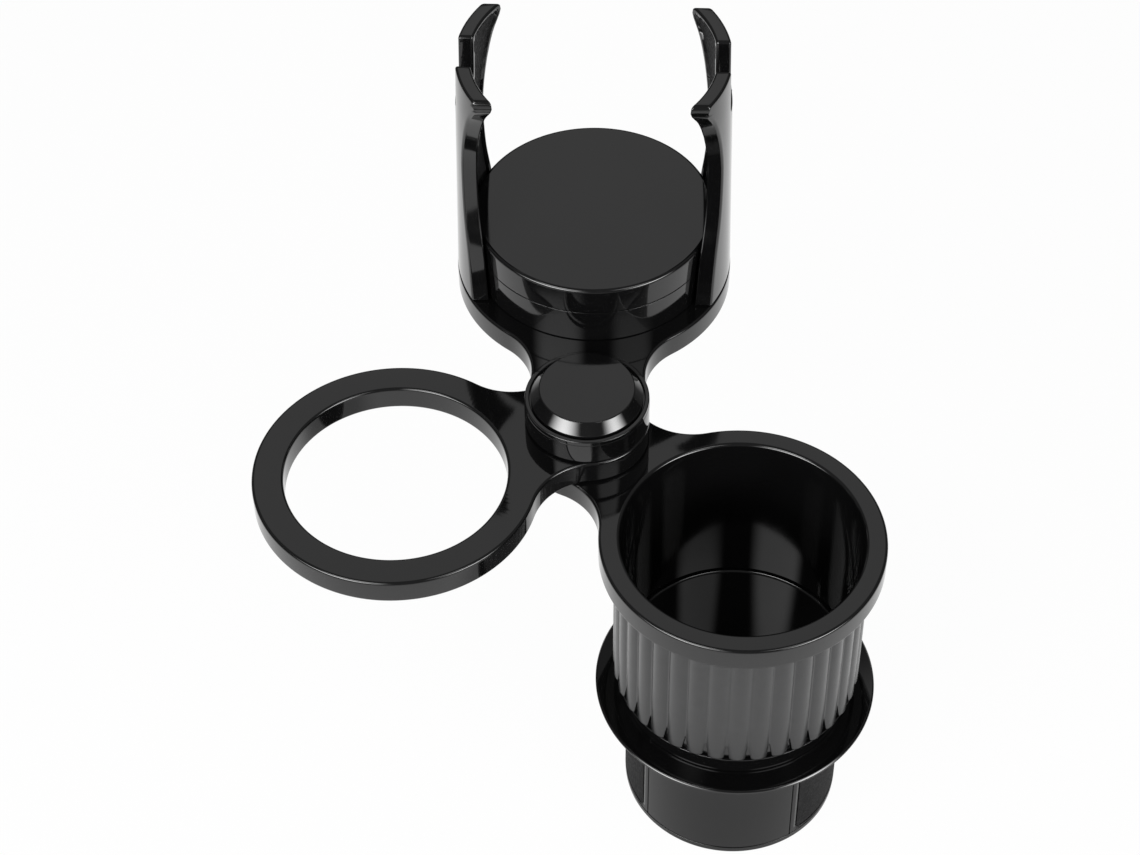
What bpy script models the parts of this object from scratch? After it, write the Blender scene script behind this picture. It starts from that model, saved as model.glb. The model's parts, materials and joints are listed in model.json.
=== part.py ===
"""Cup holder expander: a base that grips a car's cup holder, a deep cup, and two arms on one pivot.

The base stands on z = 0 and the cup's axis is the Z axis. Three moulded arms are stacked on a
pivot beside the cup: the cup's own arm, the arm with the open ring, and the arm with the
platform, whose two claws hold a bottle. Turning the ribbed sleeve drives the two feet outwards
through a spiral cam. The claws move together through two racks and a pinion. Sizes are in
millimetres and become metres as each mesh is made.
"""

from math import acos, cos, pi, radians, sin, sqrt, tan

import bmesh
import bpy
from mathutils import Matrix, Vector

MM = 0.001
GAP = 0.3
EDGE = 0.6

# The pivot, and the three stacked arms
HUB = (-49.0, 39.6)
ARM_LENGTH = 63.0
CUP_DIRECTION = radians(-38.95)
RING_DIRECTION = radians(202.9)
PLATFORM_DIRECTION = radians(90.0)
ARM_THICK = 8.5
CUP_ARM_Z = 111.5
RING_ARM_Z = CUP_ARM_Z + ARM_THICK + GAP
PLATFORM_ARM_Z = RING_ARM_Z + ARM_THICK + GAP
PLATE_TOP = PLATFORM_ARM_Z + ARM_THICK
HUB_R = 19.5
NECK_R = 20.0
CUP_RIM_R = 44.2
RING_R = 44.3
PLATFORM_R = 44.3
RING_BORE_R = 34.5
PIVOT_HOLE_R = 4.1
BOLT_SEAT_R = 7.6
BOLT_SEAT_DEEP = 3.5
WASHER_SEAT_R = 12.3
WASHER_SEAT_DEEP = 1.3
NUT_POCKET_R = 9.5
NUT_POCKET_DEEP = 4.0
CAP_R = 17.5
CAP_TOP_R = 14.8
CAP_TALL = 4.7
CAP_SIDE_TALL = 1.1
CAP_WALL = 2.3
HUB_RIM_R = (17.9, 19.3)
HUB_RIM_TALL = 0.9

# The cup and the pieces that turn round it
CUP_MOUTH_R = 38.3
CUP_BORE_R = 37.0
CUP_FLOOR_R = 36.8
CUP_OUTER_R = 37.8
CUP_FLOOR_Z = 58.6
CUP_UNDER_Z = 57.4
CUP_FILLET = 1.2
CUP_CORNER = 0.8
MOUTH_EDGE = 0.8
CUP_BOSS_R = 14.0
CUP_BOSS_Z = 53.3
RIBS = 36
RIB_PITCH = 2 * pi / RIBS
GROOVE_START = radians(-84.35)
SLEEVE_Z = (57.6, 111.0)
SLEEVE_CREST_R = 39.4
SLEEVE_FOOT_R = 39.0
SLEEVE_BORE_R = 38.1
FLUTE = ((0.0, 0.75), (0.09, 0.62), (0.27, 0.12), (0.5, 0.0), (0.73, 0.12), (0.91, 0.62))
NOTCH_TALL = 6.8
NOTCH_HALF = 1.1
NOTCH_TIP_HALF = 0.15
COLLAR_R = 36.3
COLLAR_RIM_R = 38.6
COLLAR_WALL = 2.0
COLLAR_Z = (48.1, 57.2)
CAM_THICK = 2.5
TOOTH_GROOVES = (9, 27)
TOOTH_HALF = 0.45
TOOTH_TALL = 2.3

# The base, turned a little so that its front panel faces where the photograph shows it
BASE_TURN = radians(-8.2)
BASE_R = 35.0
COVER_THICK = 2.6
SHELL_Z = COVER_THICK + GAP
SHELL_WALL = 2.2
SHELL_PLATE_Z = (45.4, 47.8)
FLANGE_R = 45.0
FLANGE_INNER_R = 37.3
FLANGE_TOP_Z = 49.2
SHELL_HUB_TOP = 53.0
WINDOW_HALF = radians(47.8)
FOOT_HALF = radians(47.35)
FOOT_TOP = 45.1
FOOT_INNER_R = 31.2
PAD_THICK = 1.6
FOOT_STRIP = radians(3.3)
TONGUE_HALF = 9.0
FOOT_TRAVEL = 10.0
PEG_R = 2.4
PEG_AT = 18.5
PEG_CLEAR = 0.12
TWIST = radians(100.0)
COVER_SCREW_AT = 26.0
COVER_BOSS_R = (4.2, 3.8)
FOOT_RAIL_X = (15.0, 28.4)
FOOT_RAIL_LOW = 39.5
TONGUE_X = (14.7, 32.0)
TONGUE_LOW = 40.6
RUNNER_X = (16.0, 32.0)
RUNNER_HALF = 6.0
RUNNER_TALL = 4.0
RAIL_WIDE = 2.0

# The platform's pedestal, claws and gear
PEDESTAL_R = 38.2
PEDESTAL_WALL = 2.0
PEDESTAL_TOP_THICK = 2.2
DRUM_Z = (PLATE_TOP + GAP, 149.8)
LID_Z = (DRUM_Z[1] + GAP, 159.6)
LID_SCREW_AT = (20.0, 24.0)
LID_SCREW_SEAT_DEEP = 2.8
LID_BOSS_R = 3.6
CLAW_TOP = 85.6
CLAW_OUTER_R = 44.2
CLAW_LEAN = 2.0
CLAW_THICK = 4.3
CLAW_NOTCH_HALF = 6.4
CLAW_NOTCH_FLOOR = 68.6
CLAW_PAD_FROM = 16.0
CLAW_BORDER = 1.7
CLAW_PAD_DEEP = 1.2
CLAW_HALF_WIDTHS = (
    (0.0, 22.3), (18.0, 20.0), (33.0, 17.0), (45.0, 15.6), (56.0, 15.4),
    (67.0, 17.4), (76.0, 20.4), (82.3, 23.6), (CLAW_TOP, 23.2),
)
MODULE = 1.0
TEETH = 14
PRESSURE = radians(20.0)
PITCH_R = MODULE * TEETH / 2
BACKLASH = 0.13
RACK_Z = (138.4, 144.4)
RACK_BACK = 13.5
RACK_ROOT = PITCH_R + 1.1
RACK_TIP = PITCH_R - 0.75
PINION_POST_R = 3.0

# Screws, nut and washers
SCREW_R = 1.5
SCREW_HOLE_R = 1.8
SCREW_DRIVE_HALF = 0.9
SCREW_SEAT_R = 3.4
CUP_SCREW_AT = 9.0
BOLT_R = 4.0
BOLT_HEAD_R = 7.0
NUT_HALF_FLAT = 6.5
SPRING_WASHER_R = 7.4
WASHER_THICK = 1.0

ROUND_LARGE = 48
ROUND_MEDIUM = 24
ROUND_SMALL = 10
ARC_STEP = radians(7.0)
NECK_STEP = radians(12.0)


def clear_scene():
    for obj in list(bpy.data.objects):
        bpy.data.objects.remove(obj, do_unlink=True)


def material(name, colour, roughness, metallic=0.0):
    made = bpy.data.materials.new(name)
    made.use_nodes = True
    shader = made.node_tree.nodes["Principled BSDF"]
    shader.inputs["Base Color"].default_value = (*colour, 1.0)
    shader.inputs["Roughness"].default_value = roughness
    shader.inputs["Metallic"].default_value = metallic
    made.diffuse_color = (*colour, 1.0)
    return made


def finish(name, bm, look=None, frame=None, origin=(0.0, 0.0, 0.0)):
    """An object from a mesh in millimetres, moved by frame, with its origin at a world point."""
    bmesh.ops.remove_doubles(bm, verts=bm.verts, dist=0.0005)
    bmesh.ops.recalc_face_normals(bm, faces=bm.faces)
    if frame is not None:
        bmesh.ops.transform(bm, matrix=frame, verts=bm.verts)
    bmesh.ops.translate(bm, vec=-Vector(origin), verts=bm.verts)
    bmesh.ops.scale(bm, vec=(MM, MM, MM), verts=bm.verts)
    mesh = bpy.data.meshes.new(name)
    bm.to_mesh(mesh)
    bm.free()
    mesh.shade_smooth()
    mesh.set_sharp_from_angle(angle=radians(32.0))
    obj = bpy.data.objects.new(name, mesh)
    obj.location = Vector(origin) * MM
    if look is not None:
        mesh.materials.append(look)
    bpy.context.scene.collection.objects.link(obj)
    return obj


def combine(target, operation, *others):
    """Booleans on the target; the other bodies become hidden helpers."""
    for other in others:
        modifier = target.modifiers.new(other.name, "BOOLEAN")
        modifier.operation = operation
        modifier.solver = "EXACT"
        modifier.object = other
        other.hide_render = True
        other.display_type = "WIRE"
    return target


def circle(radius, count, centre=(0.0, 0.0), start=0.0):
    steps = (start + 2 * pi * i / count for i in range(count))
    return [(centre[0] + radius * cos(a), centre[1] + radius * sin(a)) for a in steps]


def arc(radius, first, last, centre, step):
    """Points from one angle to another, both included, no further apart than the step."""
    count = max(1, round(abs(last - first) / step))
    angles = (first + (last - first) * i / count for i in range(count + 1))
    return [(centre[0] + radius * cos(a), centre[1] + radius * sin(a)) for a in angles]


def lay(bm, points, z):
    return [bm.verts.new((x, y, z)) for x, y in points]


def tube(bm, *levels):
    """Faces between outlines of equal count, each a pair of points and a height. Returns the end loops."""
    loops = [lay(bm, points, z) for points, z in levels]
    for lower, upper in zip(loops, loops[1:]):
        for i in range(len(lower)):
            j = (i + 1) % len(lower)
            bm.faces.new((lower[i], lower[j], upper[j], upper[i]))
    return loops[0], loops[-1]


def fill(bm, *loops):
    """The flat face inside an outline and outside the outlines of its holes."""
    if len(loops) == 1:
        bm.faces.new(loops[0])
        return
    edges = []
    for loop in loops:
        for a, b in zip(loop, loop[1:] + loop[:1]):
            edges.append(bm.edges.get((a, b)) or bm.edges.new((a, b)))
    bmesh.ops.triangle_fill(bm, use_beauty=True, use_dissolve=False, edges=edges, normal=(0, 0, 1))


def turned(name, profile, count, look=None, frame=None, origin=(0.0, 0.0, 0.0)):
    """A profile of (radius, z) spun about Z. It is closed, or starts and ends on the axis."""
    bm = bmesh.new()
    verts = [bm.verts.new((r, 0.0, z)) for r, z in profile]
    pairs = list(zip(verts, verts[1:]))
    if profile[0][0] > 0:
        pairs.append((verts[-1], verts[0]))
    edges = [bm.edges.new(pair) for pair in pairs]
    bmesh.ops.spin(
        bm, geom=verts + edges, cent=(0, 0, 0), axis=(0, 0, 1), angle=2 * pi, steps=count, use_merge=True,
    )
    return finish(name, bm, look, frame, origin)


def prism(name, outline, low, high, look=None, frame=None, origin=(0.0, 0.0, 0.0)):
    bm = bmesh.new()
    bottom, top = tube(bm, (outline, low), (outline, high))
    fill(bm, bottom)
    fill(bm, top)
    return finish(name, bm, look, frame, origin)


def box(name, low, high, frame=None):
    corners = [(low[0], low[1]), (high[0], low[1]), (high[0], high[1]), (low[0], high[1])]
    return prism(name, corners, low[2], high[2], frame=frame)


def rod(name, radius, low, high, centre=(0.0, 0.0), count=ROUND_SMALL, frame=None):
    return prism(name, circle(radius, count, centre, 0.2), low, high, frame=frame)


def screw(name, head_r, head_z, tip_z, look, frame, at, origin=(0.0, 0.0, 0.0)):
    """A pan-head screw that points up, its head from head_z[0] to head_z[1], with a square drive."""
    profile = [
        (0.0, head_z[0]), (head_r - 0.5, head_z[0]), (head_r, head_z[0] + 0.5), (head_r, head_z[1]),
        (SCREW_R, head_z[1]), (SCREW_R, tip_z - 1.0), (0.6, tip_z), (0.0, tip_z),
    ]
    place = frame @ Matrix.Translation((at[0], at[1], 0.0))
    made = turned(name, profile, ROUND_SMALL, look, place, origin)
    half = SCREW_DRIVE_HALF
    drive = box(name + "_drive", (-half, -half, head_z[0] - 1.0), (half, half, head_z[0] + 1.2), place)
    return combine(made, "DIFFERENCE", drive)


def edge_steps(radius, steps=2):
    """(inset, drop) pairs of a rounded edge, from the flat face to the side."""
    angles = (pi / 2 * i / steps for i in range(steps + 1))
    return [(radius * (1 - sin(a)), radius * (1 - cos(a))) for a in angles]


def arm_outline(end_r, direction, inset=0.0):
    """A hub and a round end joined by two concave necks, each tangent to both circles."""
    to_hub = HUB_R + NECK_R
    to_end = end_r + NECK_R
    at_hub = acos((ARM_LENGTH**2 + to_hub**2 - to_end**2) / (2 * ARM_LENGTH * to_hub))
    at_end = acos((ARM_LENGTH**2 + to_end**2 - to_hub**2) / (2 * ARM_LENGTH * to_end))
    neck = (to_hub * cos(at_hub), to_hub * sin(at_hub))
    points = arc(end_r - inset, -(pi - at_end), pi - at_end, (ARM_LENGTH, 0.0), ARC_STEP)
    points += arc(NECK_R + inset, -at_end, at_hub - pi, neck, NECK_STEP)[1:]
    points += arc(HUB_R - inset, at_hub, 2 * pi - at_hub, (0.0, 0.0), NECK_STEP)[1:]
    points += arc(NECK_R + inset, pi - at_hub, at_end, (neck[0], -neck[1]), NECK_STEP)[1:-1]
    c, s = cos(direction), sin(direction)
    return [(HUB[0] + c * x - s * y, HUB[1] + s * x + c * y) for x, y in points]


def arm_end(direction):
    return HUB[0] + ARM_LENGTH * cos(direction), HUB[1] + ARM_LENGTH * sin(direction)


def arm_side(bm, end_r, direction, low):
    """The arm's side wall with its rounded edges. Returns its bottom and top outlines."""
    levels = [(arm_outline(end_r, direction, i), low + d) for i, d in edge_steps(EDGE, 1)]
    high = low + ARM_THICK
    levels += [(arm_outline(end_r, direction, i), high - d) for i, d in reversed(edge_steps(EDGE, 1))]
    return tube(bm, *levels)


def hub_levels(*pairs):
    return [(circle(r, ROUND_MEDIUM, HUB), z) for r, z in pairs]


def make_cup_arm(look):
    """The cup, its broad rim and the lowest arm: one moulding."""
    bm = bmesh.new()
    low, high = CUP_ARM_Z, CUP_ARM_Z + ARM_THICK
    outer_low, outer_high = arm_side(bm, CUP_RIM_R, CUP_DIRECTION, low)
    seat = low + BOLT_SEAT_DEEP
    bore_low, bore_high = tube(
        bm, *hub_levels((BOLT_SEAT_R, low), (BOLT_SEAT_R, seat), (PIVOT_HOLE_R, seat), (PIVOT_HOLE_R, high))
    )
    inner = [(CUP_MOUTH_R - MOUTH_EDGE + i, high - d) for i, d in edge_steps(MOUTH_EDGE)]
    inner += [(CUP_BORE_R, low), (CUP_FLOOR_R, CUP_FLOOR_Z + CUP_FILLET)]
    inner += [(CUP_FLOOR_R - i, CUP_FLOOR_Z + d) for i, d in edge_steps(CUP_FILLET)[::-1][1:]]
    mouth, floor = tube(bm, *[(circle(r, ROUND_LARGE), z) for r, z in inner])
    bm.faces.new(floor)
    outer = [
        (CUP_OUTER_R, low), (CUP_OUTER_R, CUP_UNDER_Z + CUP_CORNER),
        (CUP_OUTER_R - CUP_CORNER, CUP_UNDER_Z), (CUP_BOSS_R, CUP_UNDER_Z), (CUP_BOSS_R, CUP_BOSS_Z),
    ]
    under, boss = tube(bm, *[(circle(r, ROUND_LARGE), z) for r, z in outer])
    bm.faces.new(boss)
    fill(bm, outer_high, mouth, bore_high)
    fill(bm, outer_low, under, bore_low)
    cup_arm = finish("cup_arm", bm, look)
    for i, at in enumerate(circle(CUP_SCREW_AT, 3)):
        hole = rod(f"cup_arm_screw_hole_{i}", SCREW_HOLE_R, CUP_BOSS_Z - 2.0, CUP_UNDER_Z - 0.4, at)
        combine(cup_arm, "DIFFERENCE", hole)
    return cup_arm


def make_ring_arm(look):
    """The middle arm, with the open ring that a can or a cup drops into."""
    bm = bmesh.new()
    low, high = RING_ARM_Z, RING_ARM_Z + ARM_THICK
    outer_low, outer_high = arm_side(bm, RING_R, RING_DIRECTION, low)
    seat = low + WASHER_SEAT_DEEP
    bores = ((WASHER_SEAT_R, low), (WASHER_SEAT_R, seat), (PIVOT_HOLE_R, seat), (PIVOT_HOLE_R, high))
    bore_low, bore_high = tube(bm, *hub_levels(*bores))
    centre = arm_end(RING_DIRECTION)
    steps = [(RING_BORE_R + i, low + d) for i, d in edge_steps(EDGE, 1)]
    steps += [(RING_BORE_R + i, high - d) for i, d in reversed(edge_steps(EDGE, 1))]
    ring_low, ring_high = tube(bm, *[(circle(r, ROUND_LARGE, centre), z) for r, z in steps])
    fill(bm, outer_high, ring_high, bore_high)
    fill(bm, outer_low, ring_low, bore_low)
    return finish("ring_arm", bm, look, origin=(*HUB, low))


def make_platform_arm(look):
    """The top arm: a round plate, the pinion's post, and a low rim round the pivot's cap."""
    bm = bmesh.new()
    low, high = PLATFORM_ARM_Z, PLATE_TOP
    outer_low, outer_high = arm_side(bm, PLATFORM_R, PLATFORM_DIRECTION, low)
    seat = low + WASHER_SEAT_DEEP
    nut_floor = high - NUT_POCKET_DEEP
    bores = (
        (WASHER_SEAT_R, low), (WASHER_SEAT_R, seat), (PIVOT_HOLE_R, seat), (PIVOT_HOLE_R, nut_floor),
        (NUT_POCKET_R, nut_floor), (NUT_POCKET_R, high),
    )
    bore_low, bore_high = tube(bm, *hub_levels(*bores))
    lows, highs = [outer_low, bore_low], [outer_high, bore_high]
    centre = arm_end(PLATFORM_DIRECTION)
    for at in lid_screw_places():
        place = (centre[0] + at[0], centre[1] + at[1])
        wide, narrow = (circle(r, ROUND_SMALL, place) for r in (SCREW_SEAT_R, SCREW_HOLE_R))
        seat = low + LID_SCREW_SEAT_DEEP
        hole_low, hole_high = tube(bm, (wide, low), (wide, seat), (narrow, seat), (narrow, high))
        lows.append(hole_low)
        highs.append(hole_high)
    post = circle(PINION_POST_R, ROUND_MEDIUM, centre)
    foot, tip = tube(bm, (post, high), (post, RACK_Z[1] + 0.8))
    bm.faces.new(tip)
    highs.append(foot)
    fill(bm, *highs)
    fill(bm, *lows)
    platform_arm = finish("platform_arm", bm, look, origin=(*HUB, low))
    inner, outer = HUB_RIM_R
    foot, top = high - 1.5, high + HUB_RIM_TALL
    profile = [(inner, foot), (outer, foot), (outer, top - 0.3), (outer - 0.3, top), (inner, top)]
    rim = turned("platform_arm_rim", profile, 36, frame=Matrix.Translation((*HUB, 0.0)))
    return combine(platform_arm, "UNION", rim)


def make_pivot(steel, nylon, black):
    """The bolt, nut and washers that hold the three arms, and the cap that hides them."""
    frame = Matrix.Translation((*HUB, 0.0))
    head = CUP_ARM_Z + 0.5
    bolt_top = PLATE_TOP + 2.3
    profile = [
        (0.0, head), (BOLT_HEAD_R - 0.5, head), (BOLT_HEAD_R, head + 0.5), (BOLT_HEAD_R, head + 2.7),
        (BOLT_R, head + 2.7),
        (BOLT_R, bolt_top - 0.6), (BOLT_R - 0.6, bolt_top), (0.0, bolt_top),
    ]
    bolt = turned("pivot_bolt", profile, ROUND_MEDIUM, steel, frame)
    socket = prism("pivot_bolt_socket", circle(2.9, 6), head - 1.0, head + 1.9, frame=frame)
    combine(bolt, "DIFFERENCE", socket)

    low, high = PLATE_TOP - 2.4, PLATE_TOP + 1.6
    bm = bmesh.new()
    hole_low, hole_high = tube(bm, *[(circle(BOLT_R + GAP, 24), z) for z in (low, high)])
    flats = circle(NUT_HALF_FLAT / cos(pi / 6), 6)
    side_low, side_high = tube(bm, (flats, low), (flats, high))
    fill(bm, side_low, hole_low)
    fill(bm, side_high, hole_high)
    finish("pivot_nut", bm, steel, frame)

    low = PLATE_TOP - NUT_POCKET_DEEP + GAP
    spring = turned("spring_washer", washer_profile(SPRING_WASHER_R, low), 28, steel, frame)
    split = Matrix.Rotation(radians(35.0), 4, "Z")
    slit = box("spring_washer_slit", (2.0, -0.4, low - 1.0), (10.0, 0.4, low + 2.0), frame @ split)
    combine(spring, "DIFFERENCE", slit)

    for name, low in (("lower_friction_washer", RING_ARM_Z), ("upper_friction_washer", PLATFORM_ARM_Z)):
        turned(name, washer_profile(WASHER_SEAT_R - GAP, low), ROUND_MEDIUM, nylon, frame, (*HUB, low))

    seat = PLATE_TOP + GAP
    top = seat + CAP_TALL
    inner = CAP_R - CAP_WALL
    profile = [
        (0.0, top - CAP_WALL), (inner, top - CAP_WALL), (inner, seat), (CAP_R, seat),
        (CAP_R, seat + CAP_SIDE_TALL), (CAP_TOP_R, top), (0.0, top),
    ]
    turned("hub_cap", profile, 40, black, frame, (*HUB, seat))


def washer_profile(outer_r, low):
    inner_r, high = BOLT_R + GAP, low + WASHER_THICK
    return [(inner_r, low), (outer_r, low), (outer_r, high), (inner_r, high)]


def sleeve_ring(crest_r, z):
    """One level of the fluted outside: for each rib a groove, two flanks and a rounded crest."""
    points = []
    for rib in range(RIBS):
        for share, drop in FLUTE:
            a = GROOVE_START + (rib + share) * RIB_PITCH
            points.append(((crest_r - drop) * cos(a), (crest_r - drop) * sin(a)))
    return points, z


def make_ribbed_sleeve(look):
    """The grip: 36 convex flutes whose grooves open into V notches at the lower edge."""
    low, high = SLEEVE_Z
    bm = bmesh.new()
    rings = ((SLEEVE_FOOT_R, low), (SLEEVE_CREST_R, low + 0.8), (SLEEVE_CREST_R, high))
    outer_low, outer_high = tube(bm, *[sleeve_ring(r, z) for r, z in rings])
    bore = circle(SLEEVE_BORE_R, 2 * RIBS, start=GROOVE_START)
    inner_high, inner_low = tube(bm, (bore, high), (bore, low))
    fill(bm, outer_high, inner_high)
    fill(bm, outer_low, inner_low)
    return combine(finish("ribbed_sleeve", bm, look), "DIFFERENCE", notch_cutters(low))


def notch_cutters(low):
    """The V notches through the wall at the foot of every groove, as one body of separate prisms."""
    reach = 1.0
    slope = (NOTCH_HALF - NOTCH_TIP_HALF) / NOTCH_TALL
    foot, tip = NOTCH_HALF + slope * reach, NOTCH_TIP_HALF
    bottom, top = low - reach, low + NOTCH_TALL
    bm = bmesh.new()
    for rib in range(RIBS):
        turn = Matrix.Rotation(GROOVE_START + rib * RIB_PITCH, 4, "Z")
        corners = [(-foot, bottom), (foot, bottom), (tip, top), (-tip, top)]
        near, far = (
            [bm.verts.new(turn @ Vector((r, y, z))) for y, z in corners]
            for r in (SLEEVE_BORE_R - reach, SLEEVE_CREST_R + reach)
        )
        bm.faces.new(near)
        bm.faces.new(far)
        for i in range(4):
            j = (i + 1) % 4
            bm.faces.new((near[i], near[j], far[j], far[i]))
    return finish("ribbed_sleeve_notches", bm)


def tooth_frames():
    return [Matrix.Rotation(GROOVE_START + groove * RIB_PITCH, 4, "Z") for groove in TOOTH_GROOVES]


def spiral_slot(name, low, high, frame):
    """A slot whose radius grows evenly with the angle, so the foot moves evenly as the grip turns."""
    half = PEG_R + PEG_CLEAR
    steps = 20
    growth = FOOT_TRAVEL / TWIST
    outer, inner = [], []
    for i in range(steps + 1):
        turn = TWIST * i / steps
        r = PEG_AT + growth * turn
        along = Vector((growth * cos(-turn) + r * sin(-turn), growth * sin(-turn) - r * cos(-turn)))
        side = Vector((along.y, -along.x)).normalized() * half
        here = Vector((r * cos(-turn), r * sin(-turn)))
        outer.append(here - side)
        inner.append(here + side)
    start = Vector((PEG_AT, 0.0))
    end_r = PEG_AT + FOOT_TRAVEL
    end = Vector((end_r * cos(-TWIST), end_r * sin(-TWIST)))
    outline = outer + slot_end(end, outer[-1], half) + inner[::-1] + slot_end(start, inner[0], half)
    return prism(name, [tuple(p) for p in outline], low, high, frame=frame)


def slot_end(centre, first, half):
    """The points of a half circle between the two sides of a slot, going clockwise."""
    spoke = (first - centre).normalized() * half
    turns = [Matrix.Rotation(-pi * i / 6, 2) for i in range(1, 6)]
    return [centre + turn @ spoke for turn in turns]


def make_drive_collar(look):
    """The glossy ring under the grip: two teeth that enter its notches, and a plate with two cam slots."""
    low, high = COLLAR_Z
    inner = COLLAR_R - COLLAR_WALL
    hub_r = CUP_BOSS_R + 0.15
    profile = [
        (hub_r, low), (COLLAR_R, low), (COLLAR_R, high - 2.4), (COLLAR_RIM_R, high - 0.5),
        (COLLAR_RIM_R, high), (inner, high), (inner, low + CAM_THICK), (hub_r, low + CAM_THICK),
    ]
    collar = turned("drive_collar", profile, ROUND_LARGE, look)
    for i, frame in enumerate(tooth_frames()):
        near = (CUP_OUTER_R + 0.15, -TOOTH_HALF, high - 0.4)
        far = (COLLAR_RIM_R - 0.15, TOOTH_HALF, high + TOOTH_TALL)
        combine(collar, "UNION", box(f"drive_collar_tooth_{i}", near, far, frame))
    for i, frame in enumerate(foot_frames()):
        slot = spiral_slot(f"drive_collar_slot_{i}", low - 1.0, low + CAM_THICK + 1.0, frame)
        combine(collar, "DIFFERENCE", slot)
    return collar


def foot_frames():
    return [Matrix.Rotation(BASE_TURN + turn, 4, "Z") for turn in (0.0, pi)]


def wedge(half, radius):
    """A pie slice about +X, to cut or keep a stretch of a round wall."""
    return [(0.0, 0.0)] + arc(radius, -half, half, (0.0, 0.0), radians(20.0))


def make_base_shell(look):
    """The flange, the plate under it and the front and rear panels: one moulding with two windows."""
    frame = Matrix.Rotation(BASE_TURN, 4, "Z")
    plate_low, plate_high = SHELL_PLATE_Z
    profile = [
        (0.0, plate_low), (BASE_R - SHELL_WALL, plate_low), (BASE_R - SHELL_WALL, SHELL_Z),
        (BASE_R, SHELL_Z), (BASE_R, plate_high - 2.1), (FLANGE_R - 1.0, FLANGE_TOP_Z - 2.0),
        (FLANGE_R, FLANGE_TOP_Z - 1.1), (FLANGE_R, FLANGE_TOP_Z - 0.5), (FLANGE_R - 0.5, FLANGE_TOP_Z),
        (FLANGE_INNER_R, FLANGE_TOP_Z - 0.3), (FLANGE_INNER_R - 0.3, plate_high),
        (CUP_BOSS_R, plate_high), (CUP_BOSS_R, SHELL_HUB_TOP), (0.0, SHELL_HUB_TOP),
    ]
    shell = turned("base_shell", profile, ROUND_LARGE, look, frame)
    for side in (-1, 1):
        at = (0.0, side * COVER_SCREW_AT)
        foot, top = SHELL_Z + 2.0, plate_low + 0.6
        boss = rod(f"base_shell_boss_{side}", COVER_BOSS_R[1], foot, top, at, frame=frame)
        far = (1.1, side * (BASE_R - 1.1))
        near = (-1.1, side * (COVER_SCREW_AT + 2.0))
        low = (near[0], min(near[1], far[1]), SHELL_Z + 2.0)
        high = (far[0], max(near[1], far[1]), plate_low + 0.8)
        web = box(f"base_shell_web_{side}", low, high, frame)
        combine(shell, "UNION", boss, web)
        for end in (-1, 1):
            inner, outer = sorted(end * x for x in FOOT_RAIL_X)
            near, far = sorted((side * (TONGUE_HALF + 0.2), side * (TONGUE_HALF + 0.2 + RAIL_WIDE)))
            low, high = (inner, near, FOOT_RAIL_LOW), (outer, far, plate_low + 1.0)
            combine(shell, "UNION", box(f"base_shell_rail_{side}_{end}", low, high, frame))
    for i, foot in enumerate(foot_frames()):
        outline = wedge(WINDOW_HALF, 60.0)[1:] + window_inner()
        window = prism(f"base_shell_window_{i}", outline, -5.0, plate_low, frame=foot)
        half = PEG_R + PEG_CLEAR
        low = (PEG_AT - half, -half, plate_low - 2.0)
        high = (PEG_AT + FOOT_TRAVEL + half, half, plate_high + 2.0)
        slot = box(f"base_shell_slot_{i}", low, high, foot)
        combine(shell, "DIFFERENCE", window, slot)
    for side in (-1, 1):
        at = (0.0, side * COVER_SCREW_AT)
        hole = rod(f"base_shell_cover_hole_{side}", SCREW_HOLE_R, 0.0, SHELL_Z + 14.0, at, frame=frame)
        combine(shell, "DIFFERENCE", hole)
    for i, at in enumerate(circle(CUP_SCREW_AT, 3)):
        seat = rod(f"base_shell_screw_seat_{i}", 3.3, plate_low - 2.0, 49.0, at)
        hole = rod(f"base_shell_screw_hole_{i}", SCREW_HOLE_R, 48.0, SHELL_HUB_TOP + 2.0, at)
        combine(shell, "DIFFERENCE", seat, hole)
    return shell


def window_inner():
    """The inner edge of a window's cutter, which stays outside the guide rails."""
    return arc(31.5, WINDOW_HALF, -WINDOW_HALF, (0.0, 0.0), WINDOW_HALF / 2)


def make_bottom_cover(look):
    """The disc under the base, with the lower guides of the feet and two screw seats."""
    frame = Matrix.Rotation(BASE_TURN, 4, "Z")
    profile = [
        (0.0, 0.0), (BASE_R - 0.9, 0.0), (BASE_R - 0.25, 0.25), (BASE_R, 0.9), (BASE_R, COVER_THICK),
        (0.0, COVER_THICK),
    ]
    cover = turned("bottom_cover", profile, ROUND_LARGE, look, frame)
    for side in (-1, 1):
        at = (0.0, side * COVER_SCREW_AT)
        root = COVER_THICK - 1.0
        boss = rod(f"bottom_cover_boss_{side}", COVER_BOSS_R[0], root, SHELL_Z + 1.7, at, frame=frame)
        near, far = sorted((side * (RUNNER_HALF + GAP), side * (RUNNER_HALF + GAP + RAIL_WIDE)))
        low, high = (-29.0, near, root), (29.0, far, COVER_THICK + RUNNER_TALL)
        rail = box(f"bottom_cover_rail_{side}", low, high, frame)
        combine(cover, "UNION", boss, rail)
        seat = rod(f"bottom_cover_seat_{side}", SCREW_SEAT_R, -1.0, COVER_THICK - 0.1, at, frame=frame)
        hole = rod(f"bottom_cover_hole_{side}", SCREW_HOLE_R, 1.0, 8.0, at, frame=frame)
        combine(cover, "DIFFERENCE", seat, hole)
    return cover


def make_base_screws(look):
    turn = Matrix.Rotation(BASE_TURN, 4, "Z")
    for name, side in (("cover_screw_front", -1), ("cover_screw_rear", 1)):
        screw(name, 3.0, (0.5, 2.3), 14.5, look, turn, (0.0, side * COVER_SCREW_AT))
    for i, at in enumerate(circle(CUP_SCREW_AT, 3)):
        screw(f"cup_screw_{i + 1}", 2.9, (46.6, 48.7), 56.6, look, Matrix(), at)


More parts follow.
